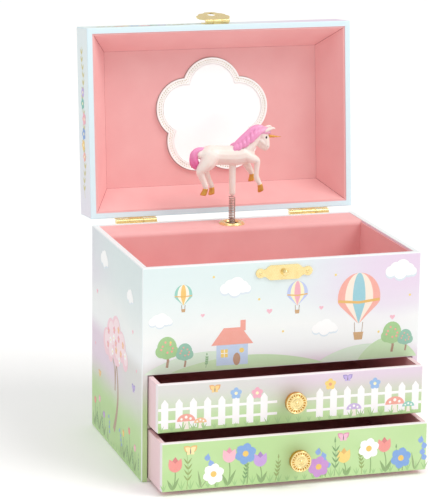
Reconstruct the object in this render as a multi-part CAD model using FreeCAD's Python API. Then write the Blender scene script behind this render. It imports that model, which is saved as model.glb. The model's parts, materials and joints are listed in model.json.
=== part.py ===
# Musical jewellery box: a tray with a turning unicorn under a hinged lid, above two drawers.
# Millimetres. X runs to the right, Y to the back, Z up. The origin is the middle of the underside.
import FreeCAD, Part
import math
import os

from FreeCAD import Vector

# Cabinet
BOX_WIDTH = 160.0
BOX_DEPTH = 110.0
BODY_HEIGHT = 120.0
TRAY_DEPTH = 57.4
BOARD = 3.2
BASE_THICKNESS = 2.2
DIVIDER_THICKNESS = 2.2
DIVIDER_SETBACK = 0.8
TRAY_FLOOR_THICKNESS = 2.2
EDGE_ROUND = 0.6
LINING_CARD = 1.0
LINING_DROP = 1.2

# Shelf that hides the musical movement
HOUSING_DEPTH = 22.3
COVER_CARD = 1.5
SHELF_DROP = 0.3
SHELF_NOSE_RADIUS = 2.6
SPINDLE_SETBACK = 11.2
BEZEL_RADIUS = 7.5
BEZEL_HOLE_RADIUS = 3.8
BEZEL_RISE = 1.4
BEZEL_FLANGE = 0.4
BEZEL_TUBE_WALL = 0.5
BEZEL_TUBE_DROP = 2.4

# Drawers, which share the height under the tray
DRAWER_FOOT_GAP = 0.3
DRAWER_HEAD_GAP = 0.7
DRAWER_SIDE_GAP = 0.7
DRAWER_BACK_GAP = 1.0
DRAWER_BOARD = 2.5
DRAWER_BOTTOM = 1.8
UPPER_DRAWER_OUT = 17.5
LOWER_DRAWER_OUT = 26.5
KNOB_RADIUS = 6.0
KNOB_REACH = 9.4
KNOB_FOOT_RADIUS = 3.4
KNOB_NECK_RADIUS = 2.5
KNOB_BUTTON_RADIUS = 1.7
SCREW_RADIUS = 1.4
SCREW_HEAD_RADIUS = 3.0
SCREW_HEAD_HEIGHT = 1.6
SCREW_GRIP = 4.0

# Lid
LID_HEIGHT = 25.0
LID_TOP_THICKNESS = 3.2
SEAM_GAP = 0.3
LID_OPEN_DEGREES = 95.4
LID_SLOPE_RUN = 10.8
LID_SLOPE_DROP = 0.5
MIRROR_THICKNESS = 1.2
MIRROR_LOBES = 5
MIRROR_LOBE_RADIUS = 17.8
MIRROR_LOBE_OFFSET = 17.0
MIRROR_BORDER = 3.7
MIRROR_FRAME_RISE = 0.7
MIRROR_RIB_WIDTH = 0.7
MIRROR_GROOVE_DEPTH = 0.42
MIRROR_FIT_GAP = 0.05

# Butt hinges
HINGE_SETBACK = 2.2
HINGE_RISE = 0.6
HINGE_WIDTH = 24.4
HINGE_SPREAD = 53.0
HINGE_LEAF_LENGTH = 9.0
HINGE_LEAF_THICKNESS = 0.7
HINGE_BARREL_RADIUS = 1.5
HINGE_PIN_RADIUS = 0.75
HINGE_KNUCKLE_GAP = 0.2
HINGE_WEB_RISE = 0.3
RUNNING_CLEARANCE = 0.05

# Nails
NAIL_RADIUS = 0.5
NAIL_LENGTH = 2.4
NAIL_HEAD_RADIUS = 1.05
NAIL_HEAD_RISE = 0.45

# Hasp and catch
HASP_WIDTH = 14.4
HASP_AXIS_RISE = 6.0
HASP_BARREL_RADIUS = 1.1
HASP_PIN_RADIUS = 0.5
HASP_SHEET = 0.6
HASP_LEAF_LENGTH = 8.0
HASP_FLAP_WIDTH = 20.0
HASP_HOLE_REACH = 12.8
HASP_HOLE_RADIUS = 2.4
HASP_TIP_WALL = 1.8
HASP_RAISED_DEGREES = 17.0
HASP_FOLD_GAP = 0.1
CATCH_WIDTH = 32.7
CATCH_BODY_WIDTH = 19.0
CATCH_HEIGHT = 8.2
CATCH_EAR_HEIGHT = 5.0
CATCH_SHEET = 0.7
CATCH_NAIL_SPREAD = 13.4
STUD_RADIUS = 1.9
STUD_STEM_RADIUS = 1.4
STUD_REACH = 3.0
STUD_TANG = 2.0

# Musical movement
BEDPLATE_THICKNESS = 1.6
BEDPLATE_LEFT = 24.0
BEDPLATE_RIGHT = 26.0
BEDPLATE_FOOT_GAP = 5.0
MOVEMENT_HEADROOM = 1.6
MOVEMENT_FOOT_GAP = 2.2
MOVEMENT_SCREW_RADIUS = 1.0
MOVEMENT_SCREW_HEAD_RADIUS = 2.0
MOVEMENT_SCREW_HEAD_HEIGHT = 1.2
BEDPLATE_SCREW_LENGTH = 4.0
BEDPLATE_SCREW_INSET = 4.0
UPPER_SCREW_DROP = 18.0
COMB_SCREW_LENGTH = 5.0
SPINDLE_RADIUS = 1.5
SPINDLE_COLLAR_RADIUS = 2.0
SPINDLE_COLLAR_HEIGHT = 1.0
CYLINDER_RADIUS = 5.5
CYLINDER_NOTES = 18
CYLINDER_GAP = 0.3
PINS_PER_NOTE = 2
PIN_SIZE = 0.4
PIN_HEIGHT = 0.7
PIN_SPREAD_DEGREES = 137.5
COMB_THICKNESS = 1.2
COMB_SLOT = 0.25
COMB_TOOTH_LENGTH = 11.0
COMB_HEEL = 7.0
COMB_CLEARANCE = 0.25
TOOTH_ADDENDUM = 0.8
TOOTH_DEDENDUM = 1.15
ROOT_SHARE = 0.27
TIP_SHARE = 0.11
GEAR_MODULE = 0.6
PINION_TEETH = 12
CROWN_TEETH = 30
PINION_WIDTH = 1.8
CROWN_ADDENDUM = 0.4
CROWN_DEDENDUM = 0.8
CROWN_TOOTH_SHARE = 0.4
PRESSURE_DEGREES = 20.0
BARREL_WALL = 0.7
BARREL_RIM = 1.0
ARBOR_RADIUS = 1.6
ARBOR_CORE_RADIUS = 2.6
BEARING_THICKNESS = 1.4
BEARING_HALF_WIDTH = 3.5
BEARING_REACH = 4.0
UPPER_BEARING_DROP = 1.5
LOWER_BEARING_GAP = 2.3
PINION_GAP = 1.6
MAINSPRING_GAP = 0.3
MAINSPRING_TURNS = 5
MAINSPRING_STRIP = 0.4
TRAIN_MODULE = 0.5
CYLINDER_WHEEL_TEETH = 30
TRAIN_PINION_TEETH = 8
WORM_WHEEL_TEETH = 20
TRAIN_WIDTH = 1.2
TRAIN_GAP = 0.8
WORM_WHEEL_WIDTH = 1.0
WORM_RADIUS = 1.0
WORM_THREAD = 0.34
WORM_WHEEL_ADDENDUM = 0.35
WORM_TURNS = 2
WORM_HEAD_GAP = 0.36
GOVERNOR_FRONT_REACH = 6.0
GOVERNOR_BACK_REACH = 4.8
GOVERNOR_FOOT_GAP = 1.6
GOVERNOR_EDGE = 2.4
GOVERNOR_LUG = 1.8
FAN_RADIUS = 4.0
FAN_LENGTH = 2.4
FAN_SHEET = 0.4
FAN_GAP = 0.4
PIVOT_RADIUS = 0.7
FRAME_SHEET = 1.2
KEY_WIDTH = 22.0
KEY_HEIGHT = 12.0
KEY_SHEET = 2.0
KEY_STEM_RADIUS = 2.6
KEY_STEM_LENGTH = 6.0
KEY_GAP = 1.2
KEY_GRIP = 1.0
KEY_EYE_RADIUS = 2.6
KEY_EYE_OFFSET = 1.2
KEY_HOLE_GAP = 0.6

# Spring and figure
SPRING_SINK = 1.2
SPRING_LENGTH = 17.4
SPRING_WIRE = 0.55
SPRING_RADIUS = 2.0
SPRING_PITCH = 1.02
SPRING_PEG = 4.2
SPRING_PEG_CLEARANCE = 0.15
SPRING_END_GAP = 0.05
POST_RADIUS = 2.05
POST_TOP = 38.0
HOOF_HEIGHT = 3.4
HOOF_TOP_RADIUS = 1.6
HOOF_SOLE_RADIUS = 2.1
HOOF_SEAT = 0.4
HORN_LENGTH = 8.6
HORN_RADIUS = 0.85
HORN_TIP_RADIUS = 0.25
HORN_FOOT = (21.2, 0.0, 50.6)
HORN_WAY = (1.0, 0.0, -0.17)
MANE_LOCKS = 7
MANE_LOCK_RADIUS = 2.5
MANE_TIP_RADIUS = 0.6

# The figure's stations: distances along it, across it and above the shelf, then a radius
TORSO = [
    (-19.6, 0.0, 42.4, 1.2), (-18.2, 0.0, 42.2, 3.4), (-14.5, 0.0, 41.8, 4.9), (-5.0, 0.0, 40.6, 4.7),
    (4.5, 0.0, 40.8, 5.4), (9.6, 0.0, 41.4, 4.2), (11.8, 0.0, 41.2, 1.6),
]
NECK = [
    (4.5, 0.0, 41.0, 4.4), (8.4, 0.0, 44.2, 4.6), (12.4, 0.0, 48.6, 3.6), (15.4, 0.0, 52.2, 3.0),
    (17.0, 0.0, 53.6, 1.4),
]
HEAD = [
    (14.4, 0.0, 54.0, 1.2), (15.6, 0.0, 53.4, 2.8), (18.4, 0.0, 51.4, 3.4), (20.2, 0.0, 47.4, 2.4),
    (20.9, 0.0, 44.2, 1.9), (20.9, 0.0, 42.8, 0.9),
]
JAW = [(14.8, 0.0, 50.6, 1.6), (16.2, 0.0, 48.6, 2.5), (18.2, 0.0, 46.4, 2.0), (19.6, 0.0, 44.2, 1.2)]
EAR = [(18.0, 1.8, 53.4, 1.1), (20.4, 2.2, 54.5, 1.2), (23.2, 2.6, 55.1, 0.7), (25.6, 2.8, 55.3, 0.25)]
NEAR_FORELEG = [
    (6.6, -2.2, 40.6, 3.4), (10.6, -3.0, 38.4, 3.0), (15.6, -3.2, 36.2, 2.0), (15.9, -3.2, 31.8, 1.4),
    (14.7, -3.2, 26.8, 1.25), (15.4, -3.2, 24.6, 1.45), (16.8, -3.2, 22.3, 1.2),
]
FAR_FORELEG = [
    (6.2, 2.2, 40.4, 3.2), (8.4, 3.0, 36.4, 2.6), (10.3, 3.2, 31.0, 1.7), (11.1, 3.2, 28.4, 1.4),
    (11.6, 3.2, 26.6, 1.2),
]
NEAR_HIND_LEG = [
    (-12.6, -1.8, 42.4, 3.6), (-14.6, -2.6, 39.4, 4.0), (-18.6, -3.0, 34.4, 2.6), (-20.4, -3.0, 31.4, 1.8),
    (-18.4, -3.0, 26.6, 1.25), (-17.0, -3.0, 23.4, 1.45), (-17.0, -3.0, 21.4, 1.2),
]
FAR_HIND_LEG = [
    (-12.0, 1.8, 42.2, 3.4), (-13.4, 2.6, 38.4, 3.8), (-15.2, 3.0, 33.0, 2.3), (-15.3, 3.0, 30.4, 1.8),
    (-13.6, 3.0, 26.2, 1.25), (-12.6, 3.0, 22.8, 1.4), (-12.1, 3.0, 21.0, 1.2),
]
TAIL = [
    (-17.8, 0.0, 44.0, 1.3), (-20.6, 0.0, 45.6, 2.0), (-23.6, 0.0, 43.6, 2.3), (-24.2, 0.0, 39.8, 2.2),
    (-23.2, 0.0, 36.4, 1.6), (-22.4, 0.0, 34.2, 0.5),
]
MANE_ROOT = [(18.4, 52.8), (11.0, 48.4), (3.2, 42.4)]
MANE_CREST = [(17.6, 56.9), (8.2, 58.6), (0.4, 44.0)]

# Places worked out from the sizes above
half_width = BOX_WIDTH / 2
half_depth = BOX_DEPTH / 2
inner_x = half_width - BOARD
inner_y = half_depth - BOARD
tray_floor_top = BODY_HEIGHT - TRAY_DEPTH
tray_floor_z = tray_floor_top - TRAY_FLOOR_THICKNESS
drawer_room = (tray_floor_z - BASE_THICKNESS - DIVIDER_THICKNESS) / 2
drawer_height = drawer_room - DRAWER_FOOT_GAP - DRAWER_HEAD_GAP
lower_drawer_z = BASE_THICKNESS + DRAWER_FOOT_GAP
divider_z = BASE_THICKNESS + drawer_room
upper_drawer_z = divider_z + DIVIDER_THICKNESS + DRAWER_FOOT_GAP
cover_y = inner_y - HOUSING_DEPTH
shelf_top = BODY_HEIGHT - SHELF_DROP
shelf_under = shelf_top - COVER_CARD
spindle_y = inner_y - SPINDLE_SETBACK
lid_bottom = BODY_HEIGHT + SEAM_GAP
lid_top = lid_bottom + LID_HEIGHT - SEAM_GAP
lid_ceiling = lid_top - LID_TOP_THICKNESS
hinge_axis = Vector(0, half_depth + HINGE_SETBACK, BODY_HEIGHT + HINGE_RISE)
hinge_leaf_rise = HINGE_BARREL_RADIUS * 0.9
hasp_leaf_rise = HASP_BARREL_RADIUS * 0.9
hasp_y = -half_depth - HASP_SHEET - HASP_FOLD_GAP - HASP_BARREL_RADIUS
hasp_axis = Vector(0, hasp_y, lid_bottom + HASP_AXIS_RISE)
hasp_flap_length = HASP_HOLE_REACH + HASP_HOLE_RADIUS + HASP_TIP_WALL
catch_z = hasp_axis.z - HASP_HOLE_REACH
bedplate_y = inner_y - BEDPLATE_THICKNESS
pinion_pitch_radius = GEAR_MODULE * PINION_TEETH / 2
crown_pitch_radius = GEAR_MODULE * CROWN_TEETH / 2
crown_pitch_y = spindle_y + pinion_pitch_radius
barrel_front = crown_pitch_y + CROWN_DEDENDUM
barrel_back = bedplate_y - RUNNING_CLEARANCE * 4
barrel_radius = crown_pitch_radius + PINION_WIDTH / 2 + BARREL_RIM - BARREL_WALL
frame_top = shelf_under - MOVEMENT_HEADROOM
worm_z = frame_top - FRAME_SHEET - WORM_RADIUS - WORM_THREAD - WORM_HEAD_GAP
upper_bearing_z = worm_z - UPPER_BEARING_DROP
train_z = upper_bearing_z - BEARING_THICKNESS / 2 - TRAIN_GAP - TRAIN_WIDTH / 2
cylinder_top = train_z - TRAIN_WIDTH / 2 - CYLINDER_GAP
barrel_z = tray_floor_top + MOVEMENT_FOOT_GAP + barrel_radius
pinion_z = barrel_z + crown_pitch_radius
lower_bearing_z = pinion_z + PINION_WIDTH / 2 + PINION_GAP + BEARING_THICKNESS / 2
cylinder_bottom = lower_bearing_z + BEARING_THICKNESS / 2 + LOWER_BEARING_GAP
comb_tip = CYLINDER_RADIUS + PIN_HEIGHT + COMB_CLEARANCE
note_pitch = (cylinder_top - cylinder_bottom) / (CYLINDER_NOTES + 1)
bedplate_foot = tray_floor_top + BEDPLATE_FOOT_GAP
wheel_pitch_radius = TRAIN_MODULE * CYLINDER_WHEEL_TEETH / 2
train_pinion_radius = TRAIN_MODULE * TRAIN_PINION_TEETH / 2
worm_wheel_radius = TRAIN_MODULE * WORM_WHEEL_TEETH / 2
train_x = -wheel_pitch_radius - train_pinion_radius
worm_x = train_x - worm_wheel_radius - WORM_RADIUS
spring_foot = shelf_top - SPRING_SINK
spring_head = spring_foot + SPRING_LENGTH
spring_peg_radius = SPRING_RADIUS - SPRING_WIRE - SPRING_PEG_CLEARANCE

axis_x = Vector(1, 0, 0)
axis_y = Vector(0, 1, 0)
axis_z = Vector(0, 0, 1)


# Plain shapes
def block(x0, x1, y0, y1, z0, z1):
    return Part.makeBox(x1 - x0, y1 - y0, z1 - z0, Vector(x0, y0, z0))


def rod(radius, start, end):
    way = end - start
    return Part.makeCylinder(radius, way.Length, start, way)


def outline_face(points):
    return Part.Face(Part.makePolygon(points + [points[0]]))


def turned(profile, base, axis):
    return outline_face(profile).revolve(base, axis, 360)


def join(shapes):
    return shapes[0].fuse(shapes[1:]).removeSplitter() if len(shapes) > 1 else shapes[0]


def rounded(shape, planes, radius):
    # An edge is rounded where it lies on two of the outer planes, given as (axis letter, value).
    def on(edge, plane):
        return all(abs(getattr(v.Point, plane[0]) - plane[1]) < 0.001 for v in edge.Vertexes)

    edges = [e for e in shape.Edges if sum(on(e, p) for p in planes) > 1]
    return shape.makeFillet(radius, edges) if edges else shape


def body_planes():
    walls = [("x", s * half_width) for s in (-1, 1)] + [("y", s * half_depth) for s in (-1, 1)]
    return walls + [("z", 0.0), ("z", BODY_HEIGHT)]


def lid_planes():
    walls = [("x", s * half_width) for s in (-1, 1)] + [("y", s * half_depth) for s in (-1, 1)]
    return walls + [("z", lid_bottom), ("z", lid_top)]


# Cabinet boards
def cabinet_boards():
    parts = {}
    planes = body_planes()
    base = block(-inner_x, inner_x, -half_depth, inner_y, 0, BASE_THICKNESS)
    parts["base_panel"] = rounded(base, planes, EDGE_ROUND)
    left = block(-half_width, -inner_x, -half_depth, half_depth, 0, BODY_HEIGHT)
    parts["left_side_panel"] = rounded(left, planes, EDGE_ROUND)
    parts["right_side_panel"] = parts["left_side_panel"].mirror(Vector(0, 0, 0), axis_x)
    back = block(-inner_x, inner_x, inner_y, half_depth, 0, BODY_HEIGHT)
    parts["back_panel"] = rounded(back, planes, EDGE_ROUND)
    front = block(-inner_x, inner_x, -half_depth, -inner_y, tray_floor_z, BODY_HEIGHT)
    parts["front_panel"] = rounded(front, planes, EDGE_ROUND)
    parts["tray_floor_panel"] = block(-inner_x, inner_x, -inner_y, inner_y, tray_floor_z, tray_floor_top)
    divider_front = -half_depth + DIVIDER_SETBACK
    divider_top = divider_z + DIVIDER_THICKNESS
    parts["drawer_divider"] = block(-inner_x, inner_x, divider_front, inner_y, divider_z, divider_top)
    return parts


# Folded card that makes the shelf and the wall below it
def movement_cover():
    outer = [Vector(-inner_x, inner_y, shelf_top), Vector(-inner_x, cover_y + SHELF_NOSE_RADIUS, shelf_top)]
    bend = Vector(-inner_x, cover_y + SHELF_NOSE_RADIUS, shelf_top - SHELF_NOSE_RADIUS)

    def arc(radius):
        half = radius * math.sqrt(0.5)
        return Part.Arc(bend + Vector(0, 0, radius), bend + Vector(0, -half, half),
                        bend + Vector(0, -radius, 0)).toShape()

    inside = SHELF_NOSE_RADIUS - COVER_CARD
    wall_foot = Vector(-inner_x, cover_y, tray_floor_top)
    wall_back = Vector(-inner_x, cover_y + COVER_CARD, tray_floor_top)
    edges = [
        Part.makeLine(outer[0], outer[1]),
        arc(SHELF_NOSE_RADIUS),
        Part.makeLine(bend + Vector(0, -SHELF_NOSE_RADIUS, 0), wall_foot),
        Part.makeLine(wall_foot, wall_back),
        Part.makeLine(wall_back, bend + Vector(0, -inside, 0)),
        arc(inside),
        Part.makeLine(bend + Vector(0, 0, inside), Vector(-inner_x, inner_y, shelf_under)),
        Part.makeLine(Vector(-inner_x, inner_y, shelf_under), outer[0]),
    ]
    card = Part.Face(Part.Wire(Part.__sortEdges__(edges))).extrude(Vector(2 * inner_x, 0, 0))
    tube = BEZEL_HOLE_RADIUS + BEZEL_TUBE_WALL
    hole = rod(tube, Vector(0, spindle_y, shelf_under - 1), Vector(0, spindle_y, shelf_top + 1))
    return card.cut(hole)


def tray_lining():
    top = BODY_HEIGHT - LINING_DROP
    floor = block(-inner_x, inner_x, -inner_y, cover_y, tray_floor_top, tray_floor_top + LINING_CARD)
    foot = tray_floor_top + LINING_CARD
    front = block(-inner_x, inner_x, -inner_y, -inner_y + LINING_CARD, foot, top)
    left = block(-inner_x, -inner_x + LINING_CARD, -inner_y + LINING_CARD, cover_y, foot, top)
    right = left.mirror(Vector(0, 0, 0), axis_x)
    return Part.makeCompound([floor, front, left, right])


def shelf_bezel():
    tube = BEZEL_HOLE_RADIUS + BEZEL_TUBE_WALL
    crest = (BEZEL_RADIUS + tube) / 2
    shoulder = (BEZEL_RADIUS + crest) / 2
    levels = [
        (BEZEL_HOLE_RADIUS, -BEZEL_TUBE_DROP), (tube, -BEZEL_TUBE_DROP), (tube, 0), (BEZEL_RADIUS, 0),
        (BEZEL_RADIUS, BEZEL_FLANGE), (shoulder, BEZEL_RISE * 0.86), (crest, BEZEL_RISE),
        (tube, BEZEL_RISE * 0.8), (BEZEL_HOLE_RADIUS, BEZEL_FLANGE),
    ]
    profile = [Vector(r, spindle_y, shelf_top + z) for r, z in levels]
    return turned(profile, Vector(0, spindle_y, 0), axis_z)


# Drawers
def knob(z, face_y):
    # Radii and shares of the reach, from the foot on the drawer front out to the button on the face.
    rim = KNOB_RADIUS
    button = KNOB_BUTTON_RADIUS
    levels = [
        (0, 0), (KNOB_FOOT_RADIUS, 0), (KNOB_FOOT_RADIUS, 0.09), (KNOB_NECK_RADIUS, 0.17),
        (KNOB_NECK_RADIUS, 0.36), (rim * 0.85, 0.52), (rim, 0.61), (rim, 0.70), (rim * 0.92, 0.78),
        (rim * 0.67, 0.82), (rim * 0.62, 0.78), (rim * 0.52, 0.78), (rim * 0.45, 0.86), (button, 0.88),
        (button * 0.76, 0.97), (0, 1),
    ]
    profile = [Vector(r, face_y - KNOB_REACH * share, z) for r, share in levels]
    body = turned(profile, Vector(0, face_y, z), axis_y)
    bore = rod(SCREW_RADIUS, Vector(0, face_y, z), Vector(0, face_y - SCREW_GRIP, z))
    return body.cut(bore)


def drawer(name, z0, pulled):
    half = inner_x - DRAWER_SIDE_GAP
    front_y = -half_depth - pulled
    back_y = inner_y - DRAWER_BACK_GAP - pulled
    z1 = z0 + drawer_height
    mid_z = (z0 + z1) / 2
    wall = half - DRAWER_BOARD
    seat_y = front_y + BOARD
    front = block(-half, half, front_y, seat_y, z0, z1)
    front_planes = [("x", -half), ("x", half), ("y", front_y), ("z", z0), ("z", z1)]
    front = rounded(front, front_planes, EDGE_ROUND)
    screw_hole = rod(SCREW_RADIUS, Vector(0, front_y - 1, mid_z), Vector(0, seat_y + 1, mid_z))
    left = block(-half, -wall, seat_y, back_y, z0, z1)
    sides = Part.makeCompound([left, left.mirror(Vector(0, 0, 0), axis_x)])
    back = block(-wall, wall, back_y - DRAWER_BOARD, back_y, z0, z1)
    bottom = block(-wall, wall, seat_y, back_y - DRAWER_BOARD, z0, z0 + DRAWER_BOTTOM)
    head = rod(SCREW_HEAD_RADIUS, Vector(0, seat_y, mid_z), Vector(0, seat_y + SCREW_HEAD_HEIGHT, mid_z))
    shank = rod(SCREW_RADIUS, Vector(0, front_y - SCREW_GRIP, mid_z), Vector(0, seat_y + 0.1, mid_z))
    return {
        name + "_drawer_front": front.cut(screw_hole),
        name + "_drawer_sides": sides,
        name + "_drawer_back": back,
        name + "_drawer_bottom": bottom,
        name + "_drawer_knob": knob(mid_z, front_y),
        name + "_knob_screw": join([head, shank]),
    }


# Lid, drawn closed
def flower_face(lobe_radius, z):
    centre = Vector(0, 0, z)
    edges = []
    for step in range(MIRROR_LOBES):
        angle = -math.pi / 2 + 2 * math.pi * step / MIRROR_LOBES
        half = math.pi / MIRROR_LOBES
        reach = math.sqrt(lobe_radius ** 2 - (MIRROR_LOBE_OFFSET * math.sin(half)) ** 2)
        valley = MIRROR_LOBE_OFFSET * math.cos(half) + reach

        def at(direction, length):
            return centre + Vector(length * math.cos(direction), length * math.sin(direction), 0)

        crown = at(angle, MIRROR_LOBE_OFFSET + lobe_radius)
        edges.append(Part.Arc(at(angle - half, valley), crown, at(angle + half, valley)).toShape())
    return Part.Face(Part.Wire(edges))


def lid_boards():
    parts = {}
    planes = lid_planes()
    top = block(-half_width, half_width, -half_depth, half_depth, lid_ceiling, lid_top)
    parts["lid_top_panel"] = rounded(top, planes, EDGE_ROUND)
    front = block(-half_width, half_width, -half_depth, -inner_y, lid_bottom, lid_ceiling)
    parts["lid_front_rail"] = rounded(front, planes, EDGE_ROUND)
    back = block(-half_width, half_width, inner_y, half_depth, lid_bottom, lid_ceiling)
    parts["lid_back_rail"] = rounded(back, planes, EDGE_ROUND)
    left = block(-half_width, -inner_x, -inner_y, inner_y, lid_bottom, lid_ceiling)
    left = rounded(left, planes, EDGE_ROUND)
    parts["lid_side_rails"] = Part.makeCompound([left, left.mirror(Vector(0, 0, 0), axis_x)])
    return parts


def lid_lining():
    back_z = lid_ceiling - LINING_CARD
    rim_z = lid_bottom + LID_SLOPE_DROP
    back = block(-inner_x, inner_x, -inner_y, inner_y, back_z, lid_ceiling)

    def slope(reach, side_way, along, along_way):
        # A card between the rim and the ceiling, mitred at both ends.
        def strip(z, inset):
            corners = [(0, -1), (0, 1), (LINING_CARD, 1), (LINING_CARD, -1)]
            points = []
            for card, end in corners:
                across = side_way * (reach - inset - card)
                points.append(across + along_way * (end * (along - inset - card)) + axis_z * z)
            return Part.makePolygon(points + [points[0]])

        card = Part.makeLoft([strip(rim_z, 0), strip(back_z, LID_SLOPE_RUN)], True, True)
        if card.Volume < 0:
            card.reverse()
        return card

    slopes = []
    for s in (-1, 1):
        slopes.append(slope(inner_x, axis_x * s, inner_y, axis_y))
        slopes.append(slope(inner_y, axis_y * s, inner_x, axis_x))
    return {"lid_lining_back": back, "lid_lining_slopes": Part.makeCompound(slopes)}


def mirror():
    back_z = lid_ceiling - LINING_CARD
    frame_z = back_z - MIRROR_THICKNESS - MIRROR_FRAME_RISE
    inner_lobe = MIRROR_LOBE_RADIUS - MIRROR_BORDER

    def flower(lobe_radius, z, depth):
        return flower_face(lobe_radius, z).extrude(Vector(0, 0, depth))

    glass = flower(inner_lobe - MIRROR_FIT_GAP, back_z - MIRROR_THICKNESS, MIRROR_THICKNESS)
    depth = back_z - frame_z
    frame = flower(MIRROR_LOBE_RADIUS, frame_z, depth).cut(flower(inner_lobe, frame_z, depth))
    groove = flower(MIRROR_LOBE_RADIUS - MIRROR_RIB_WIDTH, frame_z, MIRROR_GROOVE_DEPTH)
    groove = groove.cut(flower(inner_lobe + MIRROR_RIB_WIDTH, frame_z, MIRROR_GROOVE_DEPTH))
    return {"mirror_glass": glass, "mirror_frame": frame.cut(groove)}


# Hinges, drawn closed
def hinge_leaf(x, up, knuckle_ends):
    # A leaf lies flat on the back, and its knuckles wrap the pin.
    y1 = half_depth + HINGE_LEAF_THICKNESS
    z0 = hinge_axis.z + up * hinge_leaf_rise
    z1 = z0 + up * HINGE_LEAF_LENGTH
    solids = [block(x - HINGE_WIDTH / 2, x + HINGE_WIDTH / 2, half_depth, y1, min(z0, z1), max(z0, z1))]
    web_y = hinge_axis.y - HINGE_BARREL_RADIUS / 2
    web_z = sorted([hinge_axis.z + up * HINGE_WEB_RISE, z0 + up * HINGE_LEAF_THICKNESS])
    for start, end in knuckle_ends:
        ends = [hinge_axis + axis_x * (x + reach) for reach in (start, end)]
        solids.append(rod(HINGE_BARREL_RADIUS, *ends))
        solids.append(block(x + start, x + end, half_depth, web_y, web_z[0], web_z[1]))
    bore_radius = HINGE_PIN_RADIUS + RUNNING_CLEARANCE
    reach = axis_x * HINGE_WIDTH
    bore = rod(bore_radius, hinge_axis + axis_x * x - reach, hinge_axis + axis_x * x + reach)
    return join(solids).cut(bore)


def hinge_nail_places(up):
    z = hinge_axis.z + up * (hinge_leaf_rise + HINGE_LEAF_LENGTH * 0.6)
    spread = HINGE_WIDTH * 0.36
    return [Vector(s * HINGE_SPREAD + t * spread, half_depth, z) for s in (-1, 1) for t in (-1, 1)]


def nail(seat, way, sheet):
    # A nail's domed head sits on a sheet of the given thickness, and its shank runs into the board behind.
    head = sheet + NAIL_HEAD_RISE
    levels = [
        (0, -NAIL_LENGTH), (NAIL_RADIUS, -NAIL_LENGTH), (NAIL_RADIUS, sheet), (NAIL_HEAD_RADIUS, sheet),
        (NAIL_HEAD_RADIUS * 0.75, head - NAIL_HEAD_RISE * 0.35), (0, head),
    ]
    return turned([seat + axis_x * r + way * reach for r, reach in levels], seat, axis_y)


def nail_holes(places, way, sheet):
    return [rod(NAIL_RADIUS, p - way * NAIL_LENGTH, p + way * (sheet + 0.02)) for p in places]


# Hasp and catch, drawn hanging over the closed seam
def hasp_leaf():
    z0 = hasp_axis.z + hasp_leaf_rise
    half = HASP_WIDTH / 2
    plate = block(-half, half, -half_depth - HASP_SHEET, -half_depth, z0, z0 + HASP_LEAF_LENGTH)
    third = HASP_WIDTH / 6
    barrel = rod(HASP_BARREL_RADIUS, hasp_axis - axis_x * third, hasp_axis + axis_x * third)
    web_y = hasp_axis.y + HASP_BARREL_RADIUS / 2
    web = block(-third, third, web_y, -half_depth, hasp_axis.z, z0 + HASP_SHEET / 2)
    bore = rod(HASP_PIN_RADIUS, hasp_axis - axis_x * HASP_WIDTH, hasp_axis + axis_x * HASP_WIDTH)
    return join([plate, barrel, web]).cut(bore)


def hasp_nail_places():
    z = hasp_axis.z + hasp_leaf_rise + HASP_LEAF_LENGTH * 0.6
    return [Vector(s * HASP_WIDTH * 0.33, -half_depth, z) for s in (-1, 1)]


def hasp_flap():
    # The stamped flap narrows at the pin, spreads into shoulders and ends in a scalloped tip.
    half = HASP_FLAP_WIDTH / 2
    neck = HASP_WIDTH / 2 - HASP_SHEET * 2
    shares = [
        (neck, 0.05), (neck, 0.25), (neck + HASP_SHEET * 1.5, 0.31), (half * 0.88, 0.35), (half, 0.47),
        (half, 0.61), (half * 0.86, 0.68), (half * 0.82, 0.76), (half * 0.66, 0.85), (half * 0.46, 0.88),
        (half * 0.3, 0.98), (0, 1),
    ]
    right = [(w, share * hasp_flap_length) for w, share in shares]
    left = [(-w, d) for w, d in reversed(right[:-1])]
    y0 = hasp_axis.y - HASP_BARREL_RADIUS
    sheet = outline_face([Vector(w, y0, hasp_axis.z - d) for w, d in right + left])
    solids = [sheet.extrude(Vector(0, HASP_SHEET, 0))]
    third = HASP_WIDTH / 6 + HINGE_KNUCKLE_GAP
    for s in (-1, 1):
        ends = sorted([s * third, s * HASP_WIDTH / 2])
        solids.append(rod(HASP_BARREL_RADIUS, hasp_axis + axis_x * ends[0], hasp_axis + axis_x * ends[1]))
    flap = join(solids)
    slot_z = hasp_axis.z
    notch_z = slot_z - HASP_BARREL_RADIUS - HINGE_KNUCKLE_GAP * 2
    notch = block(-third, third, y0 - HASP_SHEET, y0 + HASP_SHEET * 2, notch_z, slot_z + HASP_BARREL_RADIUS)
    pin_bore = rod(HASP_PIN_RADIUS + RUNNING_CLEARANCE, hasp_axis - axis_x * HASP_WIDTH,
                   hasp_axis + axis_x * HASP_WIDTH)
    hole_centre = Vector(0, y0, hasp_axis.z - HASP_HOLE_REACH)
    hole = rod(HASP_HOLE_RADIUS, hole_centre - axis_y * HASP_SHEET, hole_centre + axis_y * HASP_SHEET * 2)
    return flap.cut([notch, pin_bore, hole])


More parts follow.
